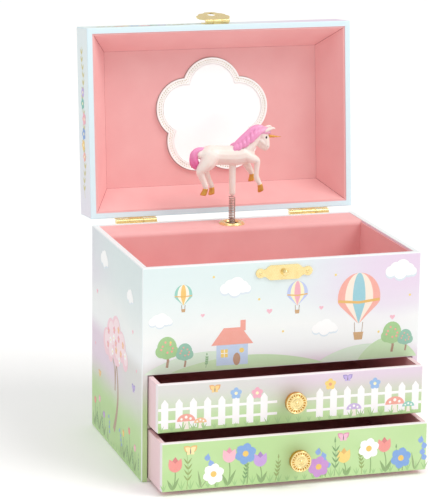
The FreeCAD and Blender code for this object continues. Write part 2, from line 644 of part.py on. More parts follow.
def catch_plate():
    half = CATCH_WIDTH / 2
    body = CATCH_BODY_WIDTH / 2
    tall = CATCH_HEIGHT / 2
    ear = CATCH_EAR_HEIGHT / 2
    ear_length = half - body
    quarter = [
        (0, tall), (body * 0.83, tall), (body, tall * 0.76), (body + ear_length * 0.11, ear * 0.92),
        (body + ear_length * 0.32, ear * 0.76), (body + ear_length * 0.47, ear),
        (half - ear_length * 0.26, ear), (half - ear_length * 0.09, ear * 0.64), (half, 0),
    ]
    right = quarter + [(w, -h) for w, h in reversed(quarter[:-1])]
    left = [(-w, h) for w, h in reversed(right[1:-1])]
    points = [Vector(w, -half_depth, catch_z + h) for w, h in right + left]
    plate = outline_face(points).extrude(Vector(0, -CATCH_SHEET, 0))
    seat = Vector(0, -half_depth, catch_z)
    return plate.cut(rod(STUD_STEM_RADIUS, seat, seat - axis_y * CATCH_SHEET))


def catch_nail_places():
    return [Vector(s * CATCH_NAIL_SPREAD, -half_depth, catch_z) for s in (-1, 1)]


def catch_stud():
    face = half_depth + CATCH_SHEET
    foot = half_depth - STUD_TANG
    levels = [
        (0, foot), (STUD_STEM_RADIUS, foot), (STUD_STEM_RADIUS, face), (STUD_RADIUS, face),
        (STUD_RADIUS, face + STUD_REACH * 0.55), (STUD_RADIUS * 0.8, face + STUD_REACH * 0.85),
        (STUD_RADIUS * 0.4, face + STUD_REACH * 0.98), (0, face + STUD_REACH),
    ]
    return turned([Vector(r, -y, catch_z) for r, y in levels], Vector(0, 0, catch_z), axis_y)


# Gears with straight flanks
def spur_gear(teeth, module, centre, width, turn=0.0, addendum=TOOTH_ADDENDUM):
    pitch_radius = module * teeth / 2
    step = 2 * math.pi / teeth
    points = []
    for tooth in range(teeth):
        middle = tooth * step + turn
        for side, rise, share in ((-1, -TOOTH_DEDENDUM, ROOT_SHARE), (-1, addendum, TIP_SHARE),
                                  (1, addendum, TIP_SHARE), (1, -TOOTH_DEDENDUM, ROOT_SHARE)):
            angle = middle + side * share * step
            reach = pitch_radius + rise * module
            points.append(centre + Vector(reach * math.cos(angle), reach * math.sin(angle), -width / 2))
    return outline_face(points).extrude(Vector(0, 0, width))


# Musical movement
def bearing_block(z):
    front = spindle_y - BEARING_REACH
    return block(-BEARING_HALF_WIDTH, BEARING_HALF_WIDTH, front, bedplate_y, z - BEARING_THICKNESS / 2,
                 z + BEARING_THICKNESS / 2)


def comb_places():
    middle_x = comb_tip + COMB_TOOTH_LENGTH + COMB_HEEL / 2
    span = (CYLINDER_NOTES - 4) * note_pitch / 2
    middle_z = (cylinder_top + cylinder_bottom) / 2
    return [Vector(middle_x, spindle_y, middle_z + s * span) for s in (-1, 1)]


def bedplate_screw_places():
    low = bedplate_foot + BEDPLATE_SCREW_INSET
    left = -BEDPLATE_LEFT + BEDPLATE_SCREW_INSET
    right = BEDPLATE_RIGHT - BEDPLATE_SCREW_INSET
    spots = [(right, low), (left, low), (left, frame_top - UPPER_SCREW_DROP)]
    return [Vector(x, bedplate_y, z) for x, z in spots]


def screw_holes(places, length):
    return [rod(MOVEMENT_SCREW_RADIUS, p - axis_y, p + axis_y * length) for p in places]


def screw(place, length):
    head, shank = MOVEMENT_SCREW_HEAD_RADIUS, MOVEMENT_SCREW_RADIUS
    top = -MOVEMENT_SCREW_HEAD_HEIGHT
    levels = [(0, top), (head, top), (head, 0), (shank, 0), (shank, length), (0, length)]
    return turned([place + axis_x * r + axis_y * y for r, y in levels], place, axis_y)


def tuned_comb():
    # The outline runs up the heel, then down the teeth, two corners at each tip and two at each root.
    heel = comb_tip + COMB_TOOTH_LENGTH
    low = cylinder_bottom + note_pitch / 2
    high = cylinder_top - note_pitch / 2
    outline = [(heel + COMB_HEEL, low), (heel + COMB_HEEL, high)]
    for note in range(CYLINDER_NOTES):
        edge = high - note * note_pitch
        root = edge - note_pitch + COMB_SLOT
        outline += [(comb_tip, edge), (comb_tip, root), (heel, root), (heel, edge - note_pitch)]
    outline[-3:] = [(comb_tip, low)]
    comb = outline_face([Vector(x, spindle_y, z) for x, z in outline])
    return comb.extrude(Vector(0, COMB_THICKNESS, 0)).cut(screw_holes(comb_places(), COMB_SCREW_LENGTH))


def movement_frame():
    plate = block(-BEDPLATE_LEFT, BEDPLATE_RIGHT, bedplate_y, inner_y, bedplate_foot, frame_top)
    heel = comb_tip + COMB_TOOTH_LENGTH
    low = cylinder_bottom + note_pitch / 2
    high = cylinder_top - note_pitch / 2
    comb_block = block(heel, heel + COMB_HEEL, spindle_y + COMB_THICKNESS, bedplate_y, low, high)
    arbor_hole = rod(ARBOR_RADIUS + RUNNING_CLEARANCE, Vector(0, bedplate_y - 1, barrel_z),
                     Vector(0, half_depth + 1, barrel_z))
    holes = screw_holes(bedplate_screw_places(), BEDPLATE_SCREW_LENGTH)
    holes += screw_holes(comb_places(), COMB_SCREW_LENGTH)
    screws = [screw(p, BEDPLATE_SCREW_LENGTH) for p in bedplate_screw_places()]
    screws += [screw(p, COMB_SCREW_LENGTH) for p in comb_places()]
    spindle_hole = rod(SPINDLE_RADIUS + RUNNING_CLEARANCE, Vector(0, spindle_y, pinion_z),
                       Vector(0, spindle_y, frame_top))
    bearings = [bearing_block(z).cut(spindle_hole) for z in (lower_bearing_z, upper_bearing_z)]
    return {
        "movement_bedplate": join([plate, comb_block]).cut([arbor_hole] + holes),
        "tuned_comb": tuned_comb(),
        "movement_screws": Part.makeCompound(screws),
        "cylinder_bearings": Part.makeCompound(bearings),
    }


def pinned_cylinder():
    centre = Vector(0, spindle_y, cylinder_bottom)
    drum = Part.makeCylinder(CYLINDER_RADIUS, cylinder_top - cylinder_bottom, centre)
    pins = []
    for number in range(CYLINDER_NOTES * PINS_PER_NOTE):
        note = number % CYLINDER_NOTES
        z = cylinder_bottom + note_pitch * (note + 1) - COMB_SLOT / 2
        pin = block(CYLINDER_RADIUS - PIN_SIZE, CYLINDER_RADIUS + PIN_HEIGHT, spindle_y - PIN_SIZE / 2,
                    spindle_y + PIN_SIZE / 2, z - PIN_SIZE / 2, z + PIN_SIZE / 2)
        pins.append(pin.rotated(centre, axis_z, number * PIN_SPREAD_DEGREES))
    arbor_hole = rod(SPINDLE_RADIUS, centre - axis_z, Vector(0, spindle_y, cylinder_top + 1))
    return drum.fuse(pins).cut(arbor_hole)


def cylinder_arbor():
    foot = Vector(0, spindle_y, pinion_z - PINION_WIDTH / 2)
    collar = Vector(0, spindle_y, spring_foot - SPRING_END_GAP - SPINDLE_COLLAR_HEIGHT)
    half_tooth = math.pi / PINION_TEETH
    solids = [
        rod(SPINDLE_RADIUS, foot, collar + axis_z * SPINDLE_COLLAR_HEIGHT),
        Part.makeCylinder(SPINDLE_COLLAR_RADIUS, SPINDLE_COLLAR_HEIGHT, collar),
        Part.makeCylinder(spring_peg_radius, SPINDLE_COLLAR_HEIGHT + SPRING_PEG, collar),
        spur_gear(PINION_TEETH, GEAR_MODULE, foot + axis_z * (PINION_WIDTH / 2), PINION_WIDTH, half_tooth),
        spur_gear(CYLINDER_WHEEL_TEETH, TRAIN_MODULE, Vector(0, spindle_y, train_z), TRAIN_WIDTH),
    ]
    return join(solids)


def spring_barrel():
    start = Vector(0, barrel_front, barrel_z)
    disc = rod(barrel_radius, start, start + axis_y * BARREL_WALL)
    wall = rod(barrel_radius, start, Vector(0, barrel_back, barrel_z))
    hollow = rod(barrel_radius - BARREL_WALL, start, Vector(0, barrel_back + 1, barrel_z))
    inner = barrel_z + crown_pitch_radius - PINION_WIDTH / 2
    half_tooth = math.pi * GEAR_MODULE * CROWN_TOOTH_SHARE / 2
    flank = math.tan(math.radians(PRESSURE_DEGREES))
    root = half_tooth + CROWN_DEDENDUM * flank
    tip = half_tooth - CROWN_ADDENDUM * flank
    sunk_y = barrel_front + BARREL_WALL / 2
    tip_y = crown_pitch_y - CROWN_ADDENDUM
    right = [(root, sunk_y), (root, barrel_front), (tip, tip_y)]
    outline = right + [(-x, y) for x, y in reversed(right)]
    tooth = outline_face([Vector(x, y, inner) for x, y in outline]).extrude(Vector(0, 0, PINION_WIDTH))
    teeth = [tooth.rotated(start, axis_y, 360.0 * n / CROWN_TEETH) for n in range(CROWN_TEETH)]
    hole = rod(ARBOR_RADIUS + RUNNING_CLEARANCE, start - axis_y * 5, Vector(0, barrel_back + 1, barrel_z))
    cup = wall.cut(hollow).fuse([disc] + teeth).cut(hole)
    cover_y0 = barrel_back - BARREL_WALL
    cover = rod(barrel_radius - BARREL_WALL, Vector(0, cover_y0, barrel_z), Vector(0, barrel_back, barrel_z))
    return {"spring_barrel": cup, "barrel_cover": cover.cut(hole)}


def mainspring():
    # A flat spiral of half circles, with each half a step wider than the last.
    y0 = barrel_front + BARREL_WALL + MAINSPRING_GAP
    y1 = barrel_back - BARREL_WALL - MAINSPRING_GAP
    start = ARBOR_CORE_RADIUS + MAINSPRING_GAP + MAINSPRING_STRIP
    room = barrel_radius - BARREL_WALL - MAINSPRING_GAP - start
    step = room / (2 * MAINSPRING_TURNS)
    sides = {0: [], MAINSPRING_STRIP: []}
    ends = {0: [], MAINSPRING_STRIP: []}
    for half in range(2 * MAINSPRING_TURNS):
        side = 1 if half % 2 == 0 else -1
        centre = Vector(side * step / 2, y0, barrel_z)
        for inset in sides:
            radius = start + half * step + step / 2 - inset
            places = [centre - axis_x * (side * radius), centre + axis_z * (side * radius),
                      centre + axis_x * (side * radius)]
            sides[inset].append(Part.Arc(*places).toShape())
            ends[inset] += [places[0], places[2]]
    outer, inner = ends.values()
    caps = [Part.makeLine(outer[0], inner[0]), Part.makeLine(outer[-1], inner[-1])]
    wire = Part.Wire(Part.__sortEdges__(sides[0] + sides[MAINSPRING_STRIP] + caps))
    return Part.Face(wire).extrude(Vector(0, y1 - y0, 0))


def winding():
    centre = Vector(0, 0, barrel_z)
    key_y = half_depth + KEY_GAP
    stem_end = key_y + KEY_STEM_LENGTH
    shaft_start = barrel_front - CROWN_ADDENDUM
    core_start = barrel_front + BARREL_WALL + RUNNING_CLEARANCE * 2
    core_end = barrel_back - BARREL_WALL - RUNNING_CLEARANCE * 2
    shaft = rod(ARBOR_RADIUS, centre + axis_y * shaft_start, centre + axis_y * (stem_end - KEY_GRIP))
    core = rod(ARBOR_CORE_RADIUS, centre + axis_y * core_start, centre + axis_y * core_end)
    stem = rod(KEY_STEM_RADIUS, centre + axis_y * key_y, centre + axis_y * stem_end)
    wing_radius = KEY_HEIGHT / 2
    wings = []
    for s in (-1, 1):
        wing_y = stem_end + wing_radius - KEY_GRIP
        middle = centre + Vector(s * (KEY_WIDTH / 2 - wing_radius), wing_y, -KEY_SHEET / 2)
        eye = middle + Vector(s * KEY_EYE_OFFSET, 0, 0)
        wing = Part.makeCylinder(wing_radius, KEY_SHEET, middle)
        wings.append(wing.cut(Part.makeCylinder(KEY_EYE_RADIUS, KEY_SHEET, eye)))
    return {"winding_arbor": join([shaft, core]), "winding_key": join([stem] + wings).cut(shaft)}


def governor():
    centre = Vector(train_x, spindle_y, 0)
    left = worm_x - GOVERNOR_LUG - RUNNING_CLEARANCE
    right = train_x + GOVERNOR_EDGE
    front = spindle_y - GOVERNOR_FRONT_REACH
    back = spindle_y + GOVERNOR_BACK_REACH
    low = train_z - TRAIN_WIDTH / 2 - GOVERNOR_FOOT_GAP - FRAME_SHEET
    top = block(left, right, front, bedplate_y, frame_top - FRAME_SHEET, frame_top)
    bottom = block(left, right, spindle_y - GOVERNOR_EDGE, bedplate_y, low, low + FRAME_SHEET)
    web = block(left, right, bedplate_y - FRAME_SHEET, bedplate_y, low, frame_top)
    lugs = []
    for y0 in (front, back):
        lugs.append(block(worm_x - GOVERNOR_LUG, worm_x + GOVERNOR_LUG, y0, y0 + FRAME_SHEET,
                          worm_z - GOVERNOR_LUG, frame_top))
    pivot_bore = PIVOT_RADIUS + RUNNING_CLEARANCE
    arbor_hole = Part.makeCylinder(pivot_bore, frame_top - low, centre + axis_z * low)
    worm_hole = rod(pivot_bore, Vector(worm_x, front, worm_z), Vector(worm_x, back + FRAME_SHEET, worm_z))
    frame = join([top, bottom, web] + lugs).cut([arbor_hole, worm_hole])
    arbor = Part.makeCylinder(PIVOT_RADIUS, frame_top - low, centre + axis_z * low)
    pinion = spur_gear(TRAIN_PINION_TEETH, TRAIN_MODULE, centre + axis_z * train_z, TRAIN_WIDTH + PIN_SIZE,
                       math.pi / TRAIN_PINION_TEETH)
    wheel = spur_gear(WORM_WHEEL_TEETH, TRAIN_MODULE, centre + axis_z * worm_z, WORM_WHEEL_WIDTH,
                      math.pi / WORM_WHEEL_TEETH, WORM_WHEEL_ADDENDUM)
    fan_back = front - FAN_GAP
    fan_front = fan_back - FAN_LENGTH
    shaft = rod(PIVOT_RADIUS, Vector(worm_x, fan_front, worm_z), Vector(worm_x, back + FRAME_SHEET, worm_z))
    fan = block(worm_x - FAN_RADIUS, worm_x + FAN_RADIUS, fan_front, fan_back,
                worm_z - FAN_SHEET / 2, worm_z + FAN_SHEET / 2)
    return {
        "governor_frame": frame,
        "governor_wheel": join([arbor, pinion, wheel]),
        "governor_fan": join([shaft, fan, worm()]),
    }


# Coils follow a helix by arcs of a quarter turn.
def helix_point(radius, pitch, base, up, side, turns):
    across = up.cross(side)
    angle = 2 * math.pi * turns
    swing = side * math.cos(angle) + across * math.sin(angle)
    return base + up * (pitch * turns) + swing * radius


def coil_path(radius, pitch, base, up, side, turns):
    edges = []
    for quarter in range(int(round(turns * 4))):
        ends = [helix_point(radius, pitch, base, up, side, (quarter + part) / 4) for part in (0, 0.5, 1)]
        edges.append(Part.Arc(*ends).toShape())
    return edges


def coil(radius, pitch, wire, base, up, side, turns):
    path = Part.Wire(coil_path(radius, pitch, base, up, side, turns))
    start = helix_point(radius, pitch, base, up, side, 0)
    way = path.Edges[0].tangentAt(path.Edges[0].FirstParameter)
    profile = Part.Wire(Part.Circle(start, way, wire).toShape())
    return path.makePipeShell([profile], True, False)


def worm():
    pitch = math.pi * TRAIN_MODULE
    base = Vector(worm_x, spindle_y - pitch * WORM_TURNS / 2, worm_z)
    thread = coil(WORM_RADIUS, pitch, WORM_THREAD, base, axis_y, axis_x, WORM_TURNS)
    core = rod(PIVOT_RADIUS, base - axis_y * WORM_THREAD, base + axis_y * (pitch * WORM_TURNS + WORM_THREAD))
    return core.fuse(thread)


def figure_spring():
    radius = SPRING_RADIUS - SPRING_WIRE / 2
    turns = math.floor((SPRING_LENGTH - SPRING_WIRE) / SPRING_PITCH * 4) / 4
    pitch = (SPRING_LENGTH - SPRING_WIRE) / turns
    base = Vector(0, spindle_y, spring_foot + SPRING_WIRE / 2)
    points = [helix_point(radius, pitch, base, axis_z, axis_x, n / 24) for n in range(int(turns * 24) + 1)]
    gap = min((p - q).Length for i, p in enumerate(points) for q in points[i + 16:i + 40]) - SPRING_WIRE
    print("spring: %.2f turns, least gap to itself %.3f mm" % (turns, gap))
    return coil(radius, pitch, SPRING_WIRE / 2, base, axis_z, axis_x, turns)


# Figure, modelled about the middle of the shelf's hole and then set in its place
def limb(stations, seam=0.0):
    # A smooth limb, lofted through round sections that stand square to its run.
    places = [Vector(*station[:3]) for station in stations]
    sections = []
    for number, place in enumerate(places):
        way = places[min(number + 1, len(places) - 1)] - places[max(number - 1, 0)]
        rise = way.cross(axis_y).normalize()
        side = rise.cross(way).normalize()
        ring = []
        for eighth in range(9):
            angle = seam + math.pi * eighth / 4
            ring.append(place + (rise * math.cos(angle) + side * math.sin(angle)) * stations[number][3])
        sections.append(Part.Wire([Part.Arc(*ring[start:start + 3]).toShape() for start in (0, 2, 4, 6)]))
    solid = Part.makeLoft(sections, True, False)
    if solid.Volume < 0:
        solid.reverse()
    return solid


def hoof(stations):
    ankle = Vector(*stations[-1][:3])
    way = (ankle - Vector(*stations[-2][:3])).normalize() - axis_z * 2
    way.normalize()
    return Part.makeCone(HOOF_TOP_RADIUS, HOOF_SOLE_RADIUS, HOOF_HEIGHT, ankle + way * HOOF_SEAT, way)


def on_curve(points, share):
    # A place on the smooth curve that three points steer.
    weights = ((1 - share) ** 2, 2 * share * (1 - share), share ** 2)
    return [sum(w * point[i] for w, point in zip(weights, points)) for i in (0, 1)]


def mane():
    # Each lock is fat on the neck, crosses the crest and tapers to a tip that sweeps back. Their seams are turned
    # off the middle plane, where the locks meet.
    locks = []
    for number in range(MANE_LOCKS):
        share = number / (MANE_LOCKS - 1)
        root = on_curve(MANE_ROOT, share)
        crest = on_curve(MANE_CREST, share)
        swept = on_curve(MANE_CREST, share + 0.8 / MANE_LOCKS)
        middle = [(r + c) / 2 for r, c in zip(root, crest)]
        tip = [c + (w - c) * 0.6 for c, w in zip(crest, swept)]
        radius = MANE_LOCK_RADIUS * (1 - 0.25 * share)
        run = [(root, radius * 0.6), (middle, radius), (crest, radius * 0.7), (tip, MANE_TIP_RADIUS)]
        locks.append(limb([(x, 0, z, r) for (x, z), r in run], math.pi / 4))
    return join(locks)


def unicorn():
    legs = [NEAR_FORELEG, FAR_FORELEG, NEAR_HIND_LEG, FAR_HIND_LEG]
    hooves = [hoof(leg) for leg in legs]
    head = axis_z * (spring_head - shelf_top)
    post = rod(POST_RADIUS, head + axis_z * SPRING_END_GAP, axis_z * POST_TOP)
    peg = rod(spring_peg_radius, head - axis_z * SPRING_PEG, head + axis_z * POST_RADIUS)
    far_ear = [(along, -across, above, radius) for along, across, above, radius in EAR]
    runs = [TORSO, NECK, HEAD, JAW, EAR, far_ear] + legs
    body = join([limb(run) for run in runs] + [post, peg]).cut(hooves)
    horn = Part.makeCone(HORN_RADIUS, HORN_TIP_RADIUS, HORN_LENGTH, Vector(*HORN_FOOT), Vector(*HORN_WAY))
    parts = {
        "unicorn_body": body,
        "unicorn_mane": mane().cut([body, horn]),
        "unicorn_tail": limb(TAIL).cut(body),
        "unicorn_horn": horn.cut(body),
        "unicorn_hooves": Part.makeCompound(hooves),
    }
    return {name: shape.translated(Vector(0, spindle_y, shelf_top)) for name, shape in parts.items()}


# Whole object
def cabinet_parts():
    parts = cabinet_boards()
    parts["movement_cover"] = movement_cover()
    parts["tray_lining"] = tray_lining()
    parts["shelf_bezel"] = shelf_bezel()
    parts["catch_plate"] = catch_plate()
    parts["catch_stud"] = catch_stud()
    parts.update(movement_frame())
    third = HINGE_WIDTH / 6
    half = HINGE_WIDTH / 2
    outer_ends = [(-half, -third - HINGE_KNUCKLE_GAP), (third + HINGE_KNUCKLE_GAP, half)]
    leaves = [hinge_leaf(s * HINGE_SPREAD, -1, outer_ends) for s in (-1, 1)]
    pins = []
    for s in (-1, 1):
        start = hinge_axis + axis_x * (s * HINGE_SPREAD - half)
        pins.append(rod(HINGE_PIN_RADIUS, start, start + axis_x * HINGE_WIDTH))
    parts["hinge_pins"] = Part.makeCompound(pins)
    nails = [nail(p, axis_y, HINGE_LEAF_THICKNESS) for p in hinge_nail_places(-1)]
    nails += [nail(p, -axis_y, CATCH_SHEET) for p in catch_nail_places()]
    parts["cabinet_nails"] = Part.makeCompound(nails)
    hinge_holes = nail_holes(hinge_nail_places(-1), axis_y, HINGE_LEAF_THICKNESS)
    catch_holes = nail_holes(catch_nail_places(), -axis_y, CATCH_SHEET)
    stud_end = -half_depth + STUD_TANG
    stud_hole = rod(STUD_STEM_RADIUS, Vector(0, -half_depth - 1, catch_z), Vector(0, stud_end, catch_z))
    parts["cabinet_hinge_leaves"] = Part.makeCompound(leaves).cut(hinge_holes)
    key_bore = KEY_STEM_RADIUS + KEY_HOLE_GAP
    key_hole = rod(key_bore, Vector(0, inner_y - 1, barrel_z), Vector(0, half_depth + 1, barrel_z))
    bed_holes = screw_holes(bedplate_screw_places(), BEDPLATE_SCREW_LENGTH)
    parts["back_panel"] = parts["back_panel"].cut(hinge_holes + [key_hole] + bed_holes)
    parts["catch_plate"] = parts["catch_plate"].cut(catch_holes)
    parts["front_panel"] = parts["front_panel"].cut(catch_holes + [stud_hole])
    return parts


def lid_parts():
    parts = lid_boards()
    parts.update(lid_lining())
    parts.update(mirror())
    third = HINGE_WIDTH / 6
    leaves = [hinge_leaf(s * HINGE_SPREAD, 1, [(-third, third)]) for s in (-1, 1)]
    hinge_holes = nail_holes(hinge_nail_places(1), axis_y, HINGE_LEAF_THICKNESS)
    hasp_holes = nail_holes(hasp_nail_places(), -axis_y, HASP_SHEET)
    parts["lid_hinge_leaves"] = Part.makeCompound(leaves).cut(hinge_holes)
    nails = [nail(p, axis_y, HINGE_LEAF_THICKNESS) for p in hinge_nail_places(1)]
    nails += [nail(p, -axis_y, HASP_SHEET) for p in hasp_nail_places()]
    parts["lid_nails"] = Part.makeCompound(nails)
    parts["lid_back_rail"] = parts["lid_back_rail"].cut(hinge_holes)
    parts["lid_front_rail"] = parts["lid_front_rail"].cut(hasp_holes)
    parts["hasp_leaf"] = hasp_leaf().cut(hasp_holes)
    half = axis_x * (HASP_WIDTH / 2)
    parts["hasp_pin"] = rod(HASP_PIN_RADIUS, hasp_axis - half, hasp_axis + half)
    flap = hasp_flap()
    parts["hasp_flap"] = flap.rotated(hasp_axis, axis_x, HASP_RAISED_DEGREES - 180)
    return {name: shape.rotated(hinge_axis, axis_x, -LID_OPEN_DEGREES) for name, shape in parts.items()}


def all_parts():
    parts = cabinet_parts()
    parts.update(lid_parts())
    parts.update(drawer("upper", upper_drawer_z, UPPER_DRAWER_OUT))
    parts.update(drawer("lower", lower_drawer_z, LOWER_DRAWER_OUT))
    parts["pinned_cylinder"] = pinned_cylinder()
    parts["cylinder_arbor"] = cylinder_arbor()
    parts.update(spring_barrel())
    parts["mainspring"] = mainspring()
    parts.update(winding())
    parts.update(governor())
    parts["figure_spring"] = figure_spring()
    parts.update(unicorn())
    return parts


os.makedirs("parts", exist_ok=True)
for name, shape in all_parts().items():
    shape.exportStep("parts/" + name + ".step")
    print("%-22s %2d solids %10.1f mm3 valid %s" % (name, len(shape.Solids), shape.Volume, shape.isValid()))
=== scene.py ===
# %% [markdown]
# # A musical jewellery box
# The box has a tray under a hinged lid with a mirror, two drawers below it, and a unicorn that
# turns on a coil spring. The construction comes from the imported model, which is loaded first and
# never moved. Everything that follows adds finishes to it, or replaces a plain solid by a piece
# with more shape.

# %% Load the frame
import json
import math

import bpy
from mathutils import Matrix, Vector
from mathutils.bvhtree import BVHTree


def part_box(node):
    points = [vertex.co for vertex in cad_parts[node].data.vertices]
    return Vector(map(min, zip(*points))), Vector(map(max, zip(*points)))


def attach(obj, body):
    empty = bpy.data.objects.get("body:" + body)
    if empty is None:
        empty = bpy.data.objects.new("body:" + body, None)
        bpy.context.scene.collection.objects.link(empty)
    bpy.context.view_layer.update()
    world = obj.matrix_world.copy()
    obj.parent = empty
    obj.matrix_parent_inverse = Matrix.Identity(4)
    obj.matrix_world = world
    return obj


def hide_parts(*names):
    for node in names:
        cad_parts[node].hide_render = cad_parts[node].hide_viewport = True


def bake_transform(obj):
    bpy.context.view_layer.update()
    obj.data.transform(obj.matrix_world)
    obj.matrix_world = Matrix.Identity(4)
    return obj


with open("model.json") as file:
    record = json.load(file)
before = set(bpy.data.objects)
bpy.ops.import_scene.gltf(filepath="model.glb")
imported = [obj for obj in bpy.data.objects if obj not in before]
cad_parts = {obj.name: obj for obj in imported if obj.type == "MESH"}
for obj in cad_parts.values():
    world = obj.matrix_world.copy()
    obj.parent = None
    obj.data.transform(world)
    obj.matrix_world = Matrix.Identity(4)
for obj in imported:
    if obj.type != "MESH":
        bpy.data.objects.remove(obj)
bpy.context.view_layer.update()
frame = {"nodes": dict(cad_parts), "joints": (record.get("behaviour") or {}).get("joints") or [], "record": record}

nodes = frame["nodes"]
joints = {joint["name"]: joint for joint in frame["joints"]}
MM = 0.001

# %% [markdown]
# ## Shader maths in Python
# A finish is a tree of nodes. Wiring one by hand is slow to read, so a socket is wrapped in a
# small class, and Python's own operators add the Math nodes: 1 - mask turns a mask inside out, and
# one | other takes the larger of two masks. Any other node is made by one method, which takes its
# type, its settings and the values of its sockets.

# %% A socket that Python can calculate with
class Signal:
    def __init__(self, finish, socket):
        self.finish = finish
        self.socket = socket

    def maths(self, operation, first, second=0.0):
        return self.finish.node("Math", {"operation": operation}, {0: first, 1: second})

    def __add__(self, other):
        return self.maths("ADD", self, other)

    def __sub__(self, other):
        return self.maths("SUBTRACT", self, other)

    def __rsub__(self, other):
        return self.maths("SUBTRACT", other, self)

    def __mul__(self, other):
        return self.maths("MULTIPLY", self, other)

    def __or__(self, other):
        return self.maths("MAXIMUM", self, other)

    def __lt__(self, other):
        return self.maths("LESS_THAN", self, other)

    def __gt__(self, other):
        return self.maths("GREATER_THAN", self, other)

    def __abs__(self):
        return self.maths("ABSOLUTE", self)

    __radd__ = __add__
    __rmul__ = __mul__


print("sockets can be calculated with")

# %% Colours
def tint(code):
    # A colour as painters write it, turned into the linear light that shaders count in.
    parts = [int(code[i:i + 2], 16) / 255 for i in (1, 3, 5)]
    linear = [c / 12.92 if c <= 0.04045 else ((c + 0.055) / 1.055) ** 2.4 for c in parts]
    return tuple(linear) + (1.0,)


print("middle grey is", round(tint("#808080")[0], 3), "in linear light")

# %% A finish, which owns one node tree
class Finish:
    def __init__(self, name, **shader):
        self.material = bpy.data.materials.new(name)
        self.material.use_nodes = True
        self.tree = self.material.node_tree
        self.shader = self.tree.nodes["Principled BSDF"]
        self.paint(**shader)

    def feed(self, socket, value):
        if isinstance(value, Signal):
            self.tree.links.new(value.socket, socket)
        else:
            socket.default_value = tint(value) if isinstance(value, str) else value

    def paint(self, **shader):
        for name, value in shader.items():
            socket = name.replace("_", " ").title().replace("Ior", "IOR")
            self.feed(self.shader.inputs[socket], value)

    def node(self, kind, settings, sockets, output=0):
        made = self.tree.nodes.new("ShaderNode" + kind)
        for key, value in settings.items():
            if key == "stops":
                ramp = made.color_ramp.elements
                while len(ramp) < len(value):
                    ramp.new(0.5)
                for stop, (place, colour) in zip(ramp, value):
                    stop.position = place
                    stop.color = tint(colour)
            else:
                setattr(made, key, value)
        for key, value in sockets.items():
            self.feed(made.inputs[key], value)
        return Signal(self, made.outputs[output])

    def mix(self, factor, first, second):
        # A Mix node's colour sockets come after those for numbers and vectors.
        return self.node("Mix", {"data_type": "RGBA"}, {0: factor, 6: first, 7: second}, 2)

    def place(self):
        return self.node("TexCoord", {}, {}, "Object")

    def axes(self, vector):
        # Millimetres along each axis, which are easier to think in than metres.
        return [self.node("SeparateXYZ", {}, {0: vector}, name) * 1000 for name in "XYZ"]

    def stretched(self, vector, scale):
        return self.node("VectorMath", {"operation": "MULTIPLY"}, {0: vector, 1: scale})

    def cloud(self, vector, scale, detail, rough=0.5):
        sockets = {"Vector": vector, "Scale": scale, "Detail": detail, "Roughness": rough}
        return self.node("TexNoise", {}, sockets)

    def fade(self, value, low, high):
        # 0 up to low and 1 from high on, with a soft step between them.
        sockets = {0: value, 1: low, 2: high, 3: 0.0, 4: 1.0}
        return self.node("MapRange", {"interpolation_type": "SMOOTHSTEP"}, sockets)

    def ramp(self, value, *stops):
        return self.node("ValToRGB", {"stops": stops}, {0: value})

    def bump(self, height, depth, strength):
        sockets = {"Height": height, "Distance": depth, "Strength": strength}
        self.paint(normal=self.node("Bump", {}, sockets))


print("finishes can be made")

# %% [markdown]
# ## The printed paper
# The boards are wrapped in a paper with a pastel print: a pale sky with a lilac glow that runs
# down into a green meadow. A picture could be mapped on, but soft washes are easily made from
# height and a stretched noise, and they stay sharp at any distance. The rims of the boards are
# nearly white, and each edge has a thin pale line where the paper folds. A fine grain gives the
# paper its tooth.

# %% Sky and meadow washes
PAPER_GLOSS = 0.35


def wash(finish, across, height, vector, meadow_top=52.0):
    drift = finish.cloud(finish.stretched(vector, (14.0, 14.0, 34.0)), 1.0, 3.0)
    rise = finish.fade(height + drift * 24, 60, 132)
    sky = finish.ramp(rise, (0, "#F3F6FA"), (0.45, "#F8FBFA"), (1, "#E3F2F3"))
    glow = finish.fade(across + drift * 40, 10, 92) * finish.fade(height + drift * 30, 88, 126)
    sky = finish.mix(glow * 0.85, sky, "#EED3EE")
    low = 1 - finish.fade(height, 58, 70)
    mist = finish.mix(finish.fade(across, -30, 15), "#DCDBD8", "#E6D2E4")
    sky = finish.mix(low * 0.9, sky, mist)
    grass = finish.ramp(drift, (0.3, "#B9DD97"), (0.7, "#C9E7AC"))
    meadow = 1 - finish.fade(height + drift * 10, meadow_top - 13, meadow_top + 12)
    return finish.mix(meadow, sky, grass)


def paper_grain(finish, vector, colour, roughness=0.42):
    grain = finish.cloud(vector, 2600, 2.0)
    scuff = finish.cloud(vector, 180, 4.0, 0.6)
    toned = finish.mix(grain * 0.05 + scuff * 0.05, colour, "#C9C4BE")
    finish.paint(base_color=toned, roughness=scuff * 0.18 + (roughness - 0.09))
    finish.bump(grain * 0.5 + scuff, 0.00004, 0.35)
    return finish


def coat(names, finish):
    for name in names:
        nodes[name].data.materials.clear()
        nodes[name].data.materials.append(finish.material)


print("washes and paper grain ready")

# %% Cabinet boards
HALF_WIDTH, HALF_DEPTH = 80, 55
CABINET_TOP = 120


def wrapped(finish, x, y, front, side):
    # The print of the front and the back, then that of the sides, and the fold between them.
    face = finish.mix(abs(x) > HALF_WIDTH - 0.3, front, side)
    fold = finish.fade(abs(x), HALF_WIDTH - 0.8, HALF_WIDTH - 0.1)
    return face, fold * finish.fade(abs(y), HALF_DEPTH - 0.8, HALF_DEPTH - 0.1)


